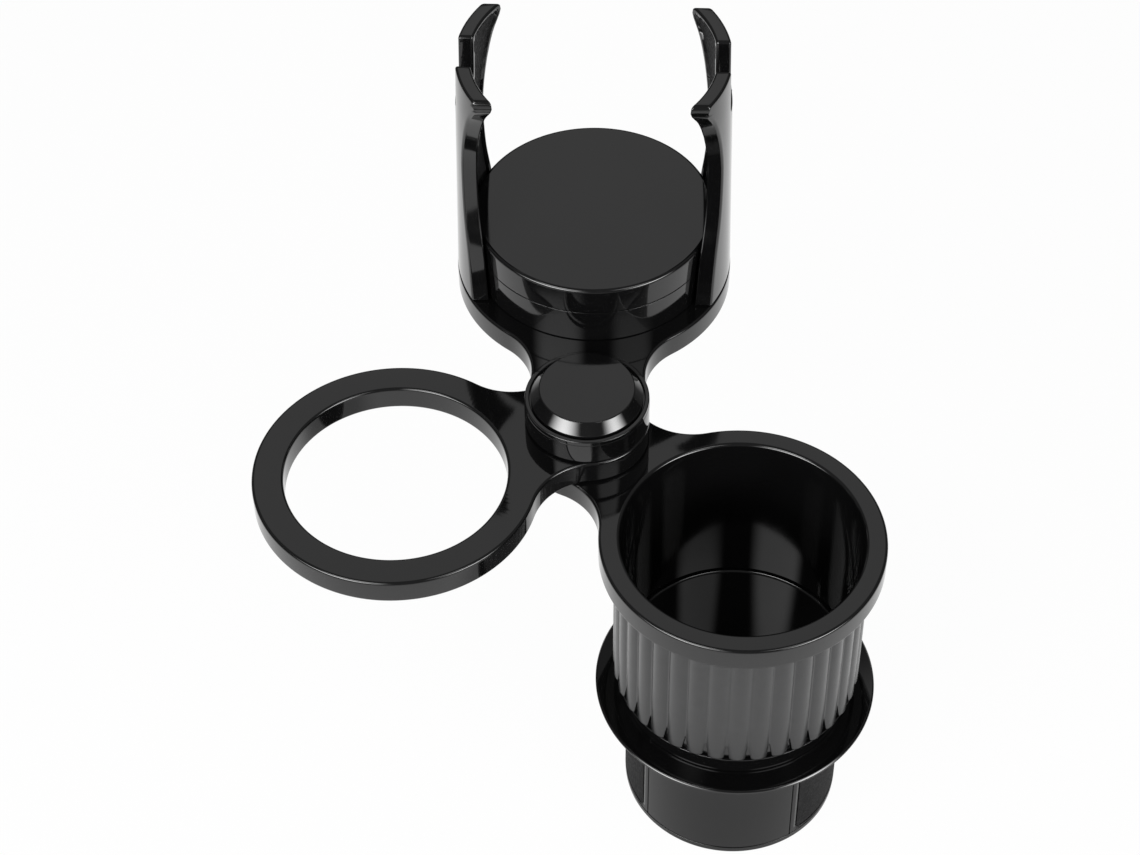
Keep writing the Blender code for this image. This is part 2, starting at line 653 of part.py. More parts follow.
def make_feet(look, rubber):
    """Two gripping feet: a curved wall with a pad, two guide tongues and the peg that the cam moves."""
    for name, frame in zip(("right", "left"), foot_frames()):
        low = SHELL_Z
        profile = [
            (FOOT_INNER_R, low), (BASE_R - 0.8, low), (BASE_R, low + 0.8), (BASE_R, FOOT_TOP),
            (FOOT_INNER_R, FOOT_TOP),
        ]
        foot = sector(f"foot_{name}", profile, FOOT_HALF, 24, look, frame)
        (inner, outer), half = TONGUE_X, TONGUE_HALF
        upper = box(f"foot_{name}_tongue", (inner, -half, TONGUE_LOW), (outer, half, FOOT_TOP), frame)
        peg = rod(f"foot_{name}_peg", PEG_R, 43.0, COLLAR_Z[0] + CAM_THICK - 0.2, (PEG_AT, 0.0), 24, frame)
        (inner, outer), half = RUNNER_X, RUNNER_HALF
        lower = box(f"foot_{name}_runner", (inner, -half, low), (outer, half, low + RUNNER_TALL), frame)
        combine(foot, "UNION", upper, peg, lower)
        seat_half = FOOT_HALF - FOOT_STRIP
        depth = BASE_R - PAD_THICK
        bottom, top, outside = low + 1.2, FOOT_TOP - 1.0, BASE_R + 3.0
        seat = [(depth, bottom), (outside, bottom), (outside, top), (depth, top)]
        combine(foot, "DIFFERENCE", sector(f"foot_{name}_seat", seat, seat_half, 22, None, frame))
        bottom, top, inner = bottom + GAP, top - GAP, depth + GAP
        pad = [(inner, bottom), (BASE_R - 0.5, bottom), (BASE_R, bottom + 0.5), (BASE_R, top), (inner, top)]
        sector(f"foot_pad_{name}", pad, seat_half - radians(0.5), 22, rubber, frame)


def sector(name, profile, half, steps, look, frame):
    """A profile of (radius, z) spun about Z from one angle to its mirror, with flat ends."""
    bm = bmesh.new()
    loops = []
    for i in range(steps + 1):
        a = -half + 2 * half * i / steps
        loops.append([bm.verts.new((r * cos(a), r * sin(a), z)) for r, z in profile])
    for first, second in zip(loops, loops[1:]):
        for i in range(len(profile)):
            j = (i + 1) % len(profile)
            bm.faces.new((first[i], first[j], second[j], second[i]))
    bm.faces.new(loops[0])
    bm.faces.new(loops[-1])
    return finish(name, bm, look, frame)


def lid_screw_places():
    x, y = LID_SCREW_AT
    return [(-x, -y), (x, -y), (x, y), (-x, y)]


def make_pedestal(look, steel):
    """The drum that houses the gear, the lid that a bottle stands on, and four screws from below."""
    frame = Matrix.Translation((*arm_end(PLATFORM_DIRECTION), 0.0))
    low, high = DRUM_Z
    inner = PEDESTAL_R - PEDESTAL_WALL
    profile = [
        (0.0, high - PEDESTAL_TOP_THICK), (inner, high - PEDESTAL_TOP_THICK), (inner, low),
        (PEDESTAL_R, low), (PEDESTAL_R, high - 0.3), (PEDESTAL_R - 0.3, high), (0.0, high),
    ]
    drum = turned("pedestal_drum", profile, ROUND_LARGE, look, frame, (*HUB, low))
    keeper = rod("pedestal_drum_keeper", 4.6, RACK_Z[1] + 1.1, high - 1.0, frame=frame)
    combine(drum, "UNION", keeper)
    for i, at in enumerate(lid_screw_places()):
        post = rod(f"pedestal_drum_post_{i}", LID_BOSS_R, low, high - 1.0, at, frame=frame)
        combine(drum, "UNION", post)
        hole = rod(f"pedestal_drum_hole_{i}", SCREW_HOLE_R, low - 2.0, high + 2.0, at, frame=frame)
        combine(drum, "DIFFERENCE", hole)
    for side in (-1, 1):
        near, far = sorted((side * (RACK_BACK + 0.2), side * (RACK_BACK + 0.2 + RAIL_WIDE)))
        foot, top = (-28.0, near, low + 0.6), (28.0, far, high - 1.0)
        guide = box(f"pedestal_drum_guide_{side}", foot, top, frame)
        near, far = sorted((-side * (RACK_ROOT - 2.4), -side * (RACK_BACK + 0.5)))
        out, back = sorted((side * (inner - 6.0), side * (PEDESTAL_R + 4.0)))
        foot, top = (out, near, low - 2.0), (back, far, RACK_Z[1] + 0.4)
        slot = box(f"pedestal_drum_slot_{side}", foot, top, frame)
        combine(drum, "UNION", guide)
        combine(drum, "DIFFERENCE", slot)

    low, high = LID_Z
    under = high - PEDESTAL_TOP_THICK
    profile = [(0.0, under), (inner - 0.2, under), (inner - 0.2, low), (PEDESTAL_R, low)]
    profile += [(PEDESTAL_R - i, high - d) for i, d in reversed(edge_steps(1.0))]
    lid = turned("pedestal_lid", profile + [(0.0, high)], ROUND_LARGE, look, frame, (*HUB, low))
    for i, at in enumerate(lid_screw_places()):
        boss = rod(f"pedestal_lid_boss_{i}", LID_BOSS_R, low, high - 1.2, at, frame=frame)
        hole = rod(f"pedestal_lid_hole_{i}", SCREW_HOLE_R, low - 2.0, high - 2.6, at, frame=frame)
        combine(lid, "UNION", boss)
        combine(lid, "DIFFERENCE", hole)
        head = (PLATFORM_ARM_Z + GAP, PLATFORM_ARM_Z + 2.5)
        screw(f"lid_screw_{i + 1}", 3.0, head, high - 3.2, steel, frame, at, (*HUB, head[0]))


def gear_outline():
    """The pinion's outline: involute flanks from the base circle, radial below it."""
    base_r = PITCH_R * cos(PRESSURE)
    half_at_pitch = (pi * MODULE / 4 - BACKLASH) / PITCH_R

    def involute(angle):
        return tan(angle) - angle

    def half_angle(r):
        at = acos(base_r / max(r, base_r))
        return half_at_pitch + involute(PRESSURE) - involute(at)

    radii = (PITCH_R - 1.0, base_r + 0.05, PITCH_R + 0.25, PITCH_R + 0.9)
    points = []
    for tooth in range(TEETH):
        middle = pi / 2 + 2 * pi * tooth / TEETH
        flank = [(r, middle - half_angle(r)) for r in radii]
        flank += [(r, middle + half_angle(r)) for r in reversed(radii)]
        points += [(r * cos(a), r * sin(a)) for r, a in flank]
    return points


def make_pinion(look):
    centre = arm_end(PLATFORM_DIRECTION)
    low, high = RACK_Z
    bm = bmesh.new()
    outline, bore = gear_outline(), circle(PINION_POST_R + 0.1, ROUND_MEDIUM)
    outer_low, outer_high = tube(bm, (outline, low), (outline, high))
    bore_low, bore_high = tube(bm, (bore, low), (bore, high))
    fill(bm, outer_low, bore_low)
    fill(bm, outer_high, bore_high)
    finish("pinion", bm, look, Matrix.Translation((*centre, 0.0)), (*centre, low))


def rack_outline():
    """The rack bar of the claw at -X, on the pinion's +Y side, seen from above."""
    pitch = pi * MODULE
    half = pi * MODULE / 4 - BACKLASH
    at_tip = half - (PITCH_R - RACK_TIP) * tan(PRESSURE)
    at_root = half + (RACK_ROOT - PITCH_R) * tan(PRESSURE)
    start = -CLAW_OUTER_R + 2.6
    points = [(start, RACK_BACK), (start, RACK_ROOT)]
    for tooth in range(-2, 6):
        middle = (tooth + 0.5) * pitch
        points += [(middle - at_root, RACK_ROOT), (middle - at_tip, RACK_TIP)]
        points += [(middle + at_tip, RACK_TIP), (middle + at_root, RACK_ROOT)]
    end = 5.5 * pitch + 2.0
    return points + [(end, RACK_ROOT), (end, RACK_BACK)]


def claw_half_width(height):
    """The claw's half width at a height, on a smooth curve through its named widths."""
    stations = CLAW_HALF_WIDTHS
    i = max(0, min(len(stations) - 2, sum(h <= height for h, _ in stations) - 1))
    (h0, w0), (h1, w1) = stations[i], stations[i + 1]
    before = stations[max(i - 1, 0)]
    after = stations[min(i + 2, len(stations) - 1)]
    slope0 = (w1 - before[1]) / (h1 - before[0])
    slope1 = (after[1] - w0) / (after[0] - h0)
    t, span = (height - h0) / (h1 - h0), h1 - h0
    return (
        w0 * (2 * t**3 - 3 * t**2 + 1) + slope0 * span * (t**3 - 2 * t**2 + t)
        + w1 * (3 * t**2 - 2 * t**3) + slope1 * span * (t**3 - t**2)
    )


def claw_shape(name, rows, border, depths, look, frame, edge=0.0):
    """A curved, leaning wall that follows the claw's outline, with the notch between its two prongs.

    The two depths are from the claw's inner face. The border is how far it stays inside the
    outline. The outline's edges, and the notch's lower corners, are rounded.
    """
    notch = CLAW_NOTCH_HALF + border
    floor = CLAW_NOTCH_FLOOR - border
    bm = bmesh.new()

    def column(side, share, row):
        width = claw_half_width(row) - border
        return side * (notch + (width - notch) * share)

    def wall(depth):
        grid = {}
        for j, row in enumerate(rows):
            radius = CLAW_OUTER_R - CLAW_THICK + depth - CLAW_LEAN * row / CLAW_TOP
            ys = [column(-1, share, row) for share in (1.0, 0.66, 0.33, 0.0)] + [0.0]
            ys += [column(1, share, row) for share in (0.0, 0.33, 0.66, 1.0)]
            for i, y in enumerate(ys):
                grid[i, j] = (-sqrt(radius**2 - y**2), y, PLATE_TOP + row)
        return grid

    walls = [wall(depth) for depth in depths]
    cells = [
        (i, j) for i in range(8) for j in range(len(rows) - 1)
        if i not in (3, 4) or rows[j + 1] <= floor + 0.01
    ]
    verts = {}

    def vert(side, key):
        if (side, key) not in verts:
            verts[side, key] = bm.verts.new(walls[side][key])
        return verts[side, key]

    rims = {}
    for i, j in cells:
        corners = [(i, j), (i + 1, j), (i + 1, j + 1), (i, j + 1)]
        for side in (0, 1):
            bm.faces.new([vert(side, key) for key in corners])
        for a, b in zip(corners, corners[1:] + corners[:1]):
            key = frozenset((a, b))
            rims[key] = None if key in rims else (a, b)
    for a, b in filter(None, rims.values()):
        bm.faces.new((vert(0, a), vert(0, b), vert(1, b), vert(1, a)))
    bmesh.ops.recalc_face_normals(bm, faces=bm.faces)
    round_claw(bm, verts, rows, floor, edge)
    return finish(name, bm, look, frame, frame.translation + Vector((0.0, 0.0, PLATE_TOP)))


def round_claw(bm, verts, rows, floor, edge):
    """Rounds the notch's two lower corners, then every edge of the outline."""
    level = rows.index(floor)
    corners = [bm.edges.get((verts[0, (i, level)], verts[1, (i, level)])) for i in (3, 5)]
    bmesh.ops.bevel(bm, geom=corners, offset=2.4, segments=3, affect="EDGES", profile=0.5)
    if edge:
        sharp = [e for e in bm.edges if len(e.link_faces) == 2 and e.calc_face_angle() > radians(60.0)]
        bmesh.ops.bevel(bm, geom=sharp, offset=edge, segments=1, affect="EDGES", profile=0.5)


def claw_rows(border):
    """Heights of the claw's grid, with one at the notch's floor."""
    if border:
        low, high = [CLAW_PAD_FROM, 26.0, 36.0, 48.0, 59.0], [73.5, 78.0, 80.8]
    else:
        low, high = [GAP, 9.0, 18.0, 26.0, 34.0, 43.0, 52.0, 59.0], [74.0, 78.5, 81.3, 83.4]
    return low + [CLAW_NOTCH_FLOOR - border] + high + [CLAW_TOP - border]


def make_claws(look, rubber):
    """Two claws with a pad set into each inner face, and a rack bar at the foot of each."""
    centre = arm_end(PLATFORM_DIRECTION)
    for name, turn in (("left", 0.0), ("right", pi)):
        frame = Matrix.Translation((*centre, 0.0)) @ Matrix.Rotation(turn, 4, "Z")
        claw = claw_shape(f"claw_{name}", claw_rows(0.0), 0.0, (0.0, CLAW_THICK), look, frame, 0.7)
        seat_rows = claw_rows(CLAW_BORDER)
        seat = claw_shape(f"claw_{name}_seat", seat_rows, CLAW_BORDER, (-2.0, CLAW_PAD_DEEP), None, frame)
        bar = prism(f"claw_{name}_rack", rack_outline(), *RACK_Z, frame=frame)
        combine(claw, "DIFFERENCE", seat)
        combine(claw, "UNION", bar)
        inset = CLAW_BORDER + GAP
        pad_rows = claw_rows(inset)
        pad_rows[0] += GAP
        claw_shape(f"claw_pad_{name}", pad_rows, inset, (0.0, CLAW_PAD_DEEP - GAP), rubber, frame)


def build():
    clear_scene()
    black = material("gloss_black", (0.012, 0.012, 0.013), 0.12)
    grey = material("satin_grey", (0.085, 0.087, 0.090), 0.38)
    rubber = material("rubber", (0.020, 0.020, 0.021), 0.75)
    steel = material("steel", (0.62, 0.62, 0.63), 0.30, 1.0)
    nylon = material("nylon", (0.62, 0.61, 0.57), 0.45)
    make_bottom_cover(black)
    make_base_shell(black)
    make_base_screws(steel)
    make_feet(black, rubber)
    make_drive_collar(black)
    make_ribbed_sleeve(grey)
    make_cup_arm(black)
    make_ring_arm(black)
    make_platform_arm(black)
    make_pivot(steel, nylon, black)
    make_pedestal(black, steel)
    make_pinion(nylon)
    make_claws(black, rubber)


build()
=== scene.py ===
import json
from math import acos, atan2, cos, pi, radians, sin, sqrt, tan

import bmesh
import bpy
from mathutils import Matrix, Vector

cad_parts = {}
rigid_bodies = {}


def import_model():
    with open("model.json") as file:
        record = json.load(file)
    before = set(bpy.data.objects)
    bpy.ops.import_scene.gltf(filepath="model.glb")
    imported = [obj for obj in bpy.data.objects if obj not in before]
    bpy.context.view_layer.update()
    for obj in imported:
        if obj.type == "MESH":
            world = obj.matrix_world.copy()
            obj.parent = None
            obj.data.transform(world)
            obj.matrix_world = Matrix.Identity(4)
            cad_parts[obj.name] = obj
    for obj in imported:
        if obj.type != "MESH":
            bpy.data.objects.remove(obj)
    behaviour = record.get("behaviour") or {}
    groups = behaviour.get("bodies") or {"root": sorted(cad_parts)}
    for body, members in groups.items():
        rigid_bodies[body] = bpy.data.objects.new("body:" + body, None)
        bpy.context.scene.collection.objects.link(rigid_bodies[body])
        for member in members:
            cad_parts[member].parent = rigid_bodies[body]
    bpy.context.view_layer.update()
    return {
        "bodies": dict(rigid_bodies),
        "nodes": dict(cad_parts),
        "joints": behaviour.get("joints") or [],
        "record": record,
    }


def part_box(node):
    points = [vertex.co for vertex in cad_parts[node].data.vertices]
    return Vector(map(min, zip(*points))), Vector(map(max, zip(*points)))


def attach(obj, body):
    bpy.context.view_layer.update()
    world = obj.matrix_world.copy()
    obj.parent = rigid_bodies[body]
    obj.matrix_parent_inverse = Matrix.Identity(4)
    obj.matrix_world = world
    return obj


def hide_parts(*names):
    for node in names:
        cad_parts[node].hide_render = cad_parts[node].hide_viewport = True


MM = 0.001

# Sizes in millimetres, as the solids have them but for rounder edges and deeper flutes
ARM_LENGTH = 63.0
ARM_THICK = 8.5
ARM_GAP = 0.3
ARM_EDGE = 0.95
CUP_DIRECTION = radians(-38.95)
RING_DIRECTION = radians(202.9)
PLATFORM_DIRECTION = radians(90.0)
HUB_R = 19.5
NECK_R = 20.0
CUP_RIM_R = 44.2
RING_R = 44.3
PLATFORM_R = 44.3
RING_BORE_R = 34.5

# The pivot: its hole, the recesses of its nut, washers and bolt, the raised rim and the cap
PIVOT_HOLE_R = 4.1
NUT_POCKET_R = 7.6
NUT_POCKET_DEEP = 3.5
WASHER_RECESS_R = 12.3
WASHER_RECESS_DEEP = 1.3
BOLT_RECESS_R = 9.5
BOLT_SEAT = 4.5
HUB_RIM_R = 19.4
HUB_RIM_INNER_R = 17.9
HUB_RIM_TALL = 0.9
HUB_RIM_ROOT = 0.9
HUB_RIM_INNER_ROOT = 0.5
HUB_RIM_EDGE = 0.35
CAP_R = 17.5
CAP_SIDE = 1.2
CAP_TOP_R = 14.8
CAP_BORE_R = 15.2
CAP_ROOF = 2.2
CAP_EDGES = (0.2, 0.45, 0.5)

# The cup
CUP_MOUTH_R = 38.7
CUP_INNER_EDGE = 1.2
CUP_BORE_R = 37.0
CUP_FLOOR_R = 36.8
CUP_OUTER_R = 37.8
CUP_FLOOR_Z = 58.6
CUP_UNDER_Z = 57.4
CUP_CORNER = 0.8
CUP_BOSS_R = 14.0
CUP_BOSS_Z = 53.3
GATE_MARK = ((1.6, 0.0), (1.3, -0.25), (0.8, -0.25), (0.5, 0.15))

# The ribbed sleeve and its collar
RIBS = 36
RIB_PITCH = 2 * pi / RIBS
GROOVE_START = radians(-84.35)
SLEEVE_CREST_R = 39.4
SLEEVE_BORE_R = 38.1
FLUTE_DEEP = 1.15
FLUTE_VALLEY = 0.03
NOTCH_TALL = 6.8
NOTCH_HALF = 1.1
NOTCH_TIP_HALF = 0.12
FINGER_CORNER = 1.3
FINGER_STEPS = 7
SLEEVE_COLUMNS = 26
SLEEVE_ROWS = (
    2.0, 2.8, 3.6, 4.4, 5.2, 6.0, 6.5, NOTCH_TALL - 0.02, NOTCH_TALL, 7.2, 10.0, 24.0, 40.0,
)
SLEEVE_FOOT_INSET = 0.4
SLEEVE_FOOT_TALL = 0.8
SLEEVE_TOP_INSET = 0.15
SLEEVE_TOP_TALL = 0.1
COLLAR_R = 36.3
COLLAR_BORE_R = 14.15
COLLAR_RIM_R = 38.6
COLLAR_RIM_TALL = 0.5
COLLAR_SLOPE = 2.4
COLLAR_WALL = 2.0
CAM_THICK = 2.5
TOOTH_GROOVES = (9, 27)
TOOTH_HALF = 0.45
TOOTH_TALL = 2.3
TOOTH_ROOT = 0.3
TOOTH_GAP = 0.05
TOOTH_EDGE = 0.1

# The base
BASE_TURN = radians(-8.2)
BASE_R = 35.0
FLANGE_R = 45.0
FLANGE_INNER_R = 37.3
FLANGE_TOP_Z = 49.2
FLANGE_SIDE_Z = 48.1
FLANGE_UNDER_Z = 47.2
FLANGE_DISH = 1.35
PLATE_LOW_Z = 45.4
PLATE_HIGH_Z = 47.8
SHELL_WALL = 2.2
SHELL_BOSS_R = 14.0
SHELL_BOSS_Z = 53.0
COVER_THICK = 2.6
WINDOW_HALF = radians(47.8)
PANEL_EDGE = 0.28
PANEL_INTO_PLATE = 0.2
PANEL_ROWS = 8
PANEL_COLUMNS = 36

# The gripping feet
FOOT_HALF = radians(47.35)
FOOT_STRIP = radians(3.3)
FOOT_INNER_R = 31.2
FOOT_TOP_Z = 45.1
FOOT_ROWS = 20
FOOT_COLUMNS = 48
SEAT_BELOW = 1.2
SEAT_ABOVE = 1.0
SEAT_CORNER = 2.0
SEAT_OUTSIDE = 3.0
PAD_THICK = 1.6
PAD_MARGIN = 0.6
PAD_EDGE = 0.4
PAD_LIFT = 0.2
PAD_ROWS = 10
PAD_COLUMNS = 44
TONGUE_REACH = (14.7, 32.0)
TONGUE_HALF = 9.0
TONGUE_LOW_Z = 40.6
RUNNER_REACH = (16.0, 32.0)
RUNNER_HALF = 6.0
RUNNER_TALL = 4.0
GUIDE_EDGE = 0.4

# The pedestal
PEDESTAL_R = 38.2
PEDESTAL_WALL = 2.0
PEDESTAL_ROOF = 2.2
DRUM_EDGE = 0.12
LID_LOW_EDGE = 0.15
LID_TOP_EDGE = 1.2
SLOT_BELOW = 2.0
SLOT_INWARDS = 6.0
SLOT_OUTWARDS = 4.0
LID_SCREW_X = 20.0
LID_SCREW_Y = 24.0
SCREW_HEAD_R = 3.4
SCREW_HEAD_DEEP = 2.8
SCREW_HOLE_R = 1.8
PINION_POST_R = 3.0
PINION_POST_TALL = 7.6
PINION_POST_ROOT = 0.4
PINION_POST_EDGE = 0.3

# The claws, with their half widths as (height, half width), and their rack bars
CLAW_TOP = 85.6
CLAW_OUTER_R = 44.2
CLAW_LEAN = 2.0
CLAW_THICK = 4.3
CLAW_NOTCH_HALF = 6.4
CLAW_NOTCH_FLOOR = 68.6
CLAW_PAD_FROM = 16.0
CLAW_BORDER = 1.7
CLAW_INSIDE = -0.35
CLAW_PAD_DEEP = 1.2
CLAW_SIDE_COLUMNS = 9
CLAW_NOTCH_COLUMNS = 6
CLAW_TIP_SHARE = 0.45
CLAW_LOW_ROWS = 18
CLAW_PRONG_ROWS = 6
CLAW_NOTCH_ROW = 4.0
CLAW_TIP_ROW = 2.6
CLAW_HALF_WIDTHS = (
    (0.0, 22.3), (18.0, 20.0), (33.0, 17.0), (45.0, 15.6), (56.0, 15.4),
    (67.0, 17.4), (76.0, 20.4), (82.3, 23.6), (CLAW_TOP, 23.2),
)
RACK_FROM = -41.6
RACK_BACK = 13.5
RACK_ROOT = 8.1
RACK_TIP = 6.25
RACK_ROOT_HALF = 1.055
RACK_TIP_HALF = 0.382
RACK_TEETH = range(-2, 6)
RACK_TOOTH_PITCH = pi
RACK_END = 0.4
RACK_ROOM = 0.4

# The camera, as worked out from the circles in the photograph
CAMERA_AT = (-25.80, -544.83, 775.06)
CAMERA_PITCH = radians(48.06)
CAMERA_YAW = radians(2.8)
CAMERA_ROLL = radians(-0.64)
CAMERA_LENS = 88.05
CAMERA_SENSOR = 36.0
CAMERA_FAR = 50.0

# The floor, in metres, and its brightness in reflections: a painted shadow at its middle, a painted pool of
# light round it, and dimmer far off
FLOOR_Z = -0.0004
FLOOR_REACH = 6.0
FLOOR_GREY = 0.68
FLOOR_CENTRE = (0.0, 0.0, 0.0)
FLOOR_CAMERA_SHARE = 0.97
FLOOR_GLOSSY_SHARE = 0.85
FLOOR_PAINTED_SHADOW = 0.55
FLOOR_PAINTED_LIGHT = 1.1
FLOOR_FAR = 0.15
FLOOR_SHADOW_EDGE = (0.05, 0.10)
FLOOR_FADE = (0.3, 0.75)

# The world: its light on the object, and in reflections its brightness low, high, aside and in front
WORLD_PLAIN = 0.08
WORLD_LOW = 0.15
WORLD_HIGH = 0.74
WORLD_SIDE = 0.3
WORLD_FRONT = 0.25
WORLD_BRIGHT_TOWARDS = (-0.03, 0.66, 0.75)
WORLD_CEILING_Z = (0.1, 0.6)
WORLD_SCREEN = (0.97, 0.987)
WORLD_FRONT_Y = (-0.98, -0.6)

# Lamps: name, azimuth, elevation and half widths in degrees, peak radiance, and its fully bright share
LAMPS = (
    ("left_softbox", -37, 21, (35, 13), 24.0, 0.0),
    ("right_softbox", 51, 19, (27, 13), 22.0, 0.0),
    ("left_top_light", -36, 51, (20, 7), 12.0, 0.5),
    ("right_top_light", 42, 51, (17, 6), 6.0, 0.5),
)
LAMP_DISTANCE = 1.3
LAMP_AIM = (-0.04, 0.03, 0.10)

# Sides and steps of round shapes
LARGE_SIDES = 300
RIM_SIDES = 192
BORE_SIDES = 64
POST_SIDES = 48
SCREW_SIDES = 40

FILLET_STEPS = 5
HUB_STEP = radians(4.0)
END_STEP = radians(2.2)

ON_AXIS = 1e-6
SAME_POINT = 0.0005
SMOOTH_BELOW = radians(34.0)
SHARP_ABOVE = radians(60.0)
PLASTIC_IOR = 1.5
NOISE_LOW = 0.3
NOISE_HIGH = 0.7


# Heights and places, in millimetres

def joint_place(frame, name):
    joint = next(j for j in frame["joints"] if j["name"] == name)
    return joint["pos_m"][0] / MM, joint["pos_m"][1] / MM


def node_heights(node):
    low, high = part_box(node)
    return low[2] / MM, high[2] / MM


def upright(place):
    """The frame of a piece that stands at a place."""
    return Matrix.Translation((*place, 0.0))


# Node building in materials

def new_material(name):
    made = bpy.data.materials.new(name)
    made.use_nodes = True
    tree = made.node_tree
    return made, tree, tree.nodes["Principled BSDF"]


def noise(tree, scale, detail=2.0, roughness=0.5):
    """Noise with so many waves in a metre."""
    coords = tree.nodes.new("ShaderNodeTexCoord")
    made = tree.nodes.new("ShaderNodeTexNoise")
    made.inputs["Scale"].default_value = scale
    made.inputs["Detail"].default_value = detail
    made.inputs["Roughness"].default_value = roughness
    tree.links.new(coords.outputs["Object"], made.inputs["Vector"])
    return made.outputs["Fac"]


def spread(tree, value, low, high):
    """A noise spread over a range of numbers."""
    made = tree.nodes.new("ShaderNodeMapRange")
    made.inputs["From Min"].default_value = NOISE_LOW
    made.inputs["From Max"].default_value = NOISE_HIGH
    made.inputs["To Min"].default_value = low
    made.inputs["To Max"].default_value = high
    tree.links.new(value, made.inputs["Value"])
    return made.outputs["Result"]


def bump(tree, height, distance, strength):
    """A normal bent by a height, in metres."""
    made = tree.nodes.new("ShaderNodeBump")
    made.inputs["Distance"].default_value = distance
    made.inputs["Strength"].default_value = strength
    tree.links.new(height, made.inputs["Height"])
    return made.outputs["Normal"]


def tinted(tree, value, dark, light):
    """A noise as a colour between two colours."""
    ramp = tree.nodes.new("ShaderNodeValToRGB")
    ramp.color_ramp.elements[0].position = NOISE_LOW
    ramp.color_ramp.elements[0].color = (*dark, 1.0)
    ramp.color_ramp.elements[1].position = NOISE_HIGH
    ramp.color_ramp.elements[1].color = (*light, 1.0)
    tree.links.new(value, ramp.inputs["Fac"])
    return ramp.outputs["Color"]


def gloss_black():
    """Polished black moulding: a deep black with a faint flow of the surface and a slight haze."""
    made, tree, shader = new_material("gloss_black_plastic")
    shader.inputs["IOR"].default_value = PLASTIC_IOR
    haze = spread(tree, noise(tree, 60.0, 3.0), 0.045, 0.085)
    tree.links.new(haze, shader.inputs["Roughness"])
    colour = tinted(tree, noise(tree, 25.0), (0.0022, 0.0022, 0.0023), (0.0032, 0.0032, 0.0033))
    tree.links.new(colour, shader.inputs["Base Color"])
    flow = bump(tree, noise(tree, 28.0, 0.0), 0.0002, 0.02)
    tree.links.new(flow, shader.inputs["Normal"])
    return made


def satin_grey():
    """The sleeve: dark grey with the fine even grain of an etched mould."""
    made, tree, shader = new_material("satin_grey_plastic")
    shader.inputs["IOR"].default_value = PLASTIC_IOR
    shader.inputs["Specular IOR Level"].default_value = 0.56
    colour = tinted(tree, noise(tree, 300.0, 4.0), (0.0085, 0.0087, 0.009), (0.0125, 0.0127, 0.0131))
    tree.links.new(colour, shader.inputs["Base Color"])
    haze = spread(tree, noise(tree, 500.0, 2.0), 0.21, 0.27)
    tree.links.new(haze, shader.inputs["Roughness"])
    grain = bump(tree, noise(tree, 4200.0, 2.0, 0.6), 0.00003, 0.1)
    tree.links.new(grain, shader.inputs["Normal"])
    return made


def pad_rubber():
    """Soft rubber with a fine pebbled surface."""
    made, tree, shader = new_material("pad_rubber")
    shader.inputs["IOR"].default_value = PLASTIC_IOR
    colour = tinted(tree, noise(tree, 1000.0, 3.0), (0.001, 0.001, 0.0011), (0.012, 0.012, 0.0125))
    tree.links.new(colour, shader.inputs["Base Color"])
    shader.inputs["Specular IOR Level"].default_value = 0.16
    haze = spread(tree, noise(tree, 1500.0, 2.0), 0.5, 0.7)
    tree.links.new(haze, shader.inputs["Roughness"])
    pebble = bump(tree, noise(tree, 1300.0, 2.0, 0.55), 0.0005, 0.8)
    tree.links.new(pebble, shader.inputs["Normal"])
    return made


def zinc_steel():
    made, tree, shader = new_material("zinc_steel")
    shader.inputs["Metallic"].default_value = 1.0
    colour = tinted(tree, noise(tree, 700.0, 3.0), (0.44, 0.45, 0.46), (0.62, 0.63, 0.64))
    tree.links.new(colour, shader.inputs["Base Color"])
    haze = spread(tree, noise(tree, 1200.0, 2.0), 0.22, 0.36)
    tree.links.new(haze, shader.inputs["Roughness"])
    grain = bump(tree, noise(tree, 4000.0), 0.00003, 0.4)
    tree.links.new(grain, shader.inputs["Normal"])
    return made


def natural_nylon():
    made, tree, shader = new_material("natural_nylon")
    shader.inputs["Subsurface Weight"].default_value = 0.1
    shader.inputs["Subsurface Radius"].default_value = (0.002, 0.002, 0.0015)
    colour = tinted(tree, noise(tree, 200.0, 3.0), (0.56, 0.55, 0.50), (0.66, 0.65, 0.60))
    tree.links.new(colour, shader.inputs["Base Color"])
    haze = spread(tree, noise(tree, 400.0, 2.0), 0.38, 0.5)
    tree.links.new(haze, shader.inputs["Roughness"])
    return made


# Mesh building

def circle(radius, count, centre=(0.0, 0.0)):
    steps = (2 * pi * i / count for i in range(count))
    return [(centre[0] + radius * cos(a), centre[1] + radius * sin(a)) for a in steps]


def arc(radius, first, last, centre, step):
    count = max(1, round(abs(last - first) / step))
    angles = (first + (last - first) * i / count for i in range(count + 1))
    return [(centre[0] + radius * cos(a), centre[1] + radius * sin(a)) for a in angles]


def tube(bm, *levels):
    """Faces between outlines of equal count, each a pair of points and a height. Returns the end loops."""
    loops = [[bm.verts.new((x, y, z)) for x, y in points] for points, z in levels]
    for lower, upper in zip(loops, loops[1:]):
        for i in range(len(lower)):
            j = (i + 1) % len(lower)
            bm.faces.new((lower[i], lower[j], upper[j], upper[i]))
    return loops[0], loops[-1]


def fill(bm, *loops):
    """The flat face inside an outline and outside the outlines of its holes."""
    if len(loops) == 1:
        bm.faces.new(loops[0])
        return
    edges = []
    for loop in loops:
        for a, b in zip(loop, loop[1:] + loop[:1]):
            edges.append(bm.edges.get((a, b)) or bm.edges.new((a, b)))
    bmesh.ops.triangle_fill(bm, use_beauty=True, use_dissolve=False, edges=edges, normal=(0, 0, 1))


def prism(bm, outline, low, high):
    """An upright block over an outline."""
    bottom, top = tube(bm, (outline, low), (outline, high))
    fill(bm, bottom)
    fill(bm, top)


def oblong(x, y):
    """The outline of a rectangle."""
    return [(x[0], y[0]), (x[1], y[0]), (x[1], y[1]), (x[0], y[1])]


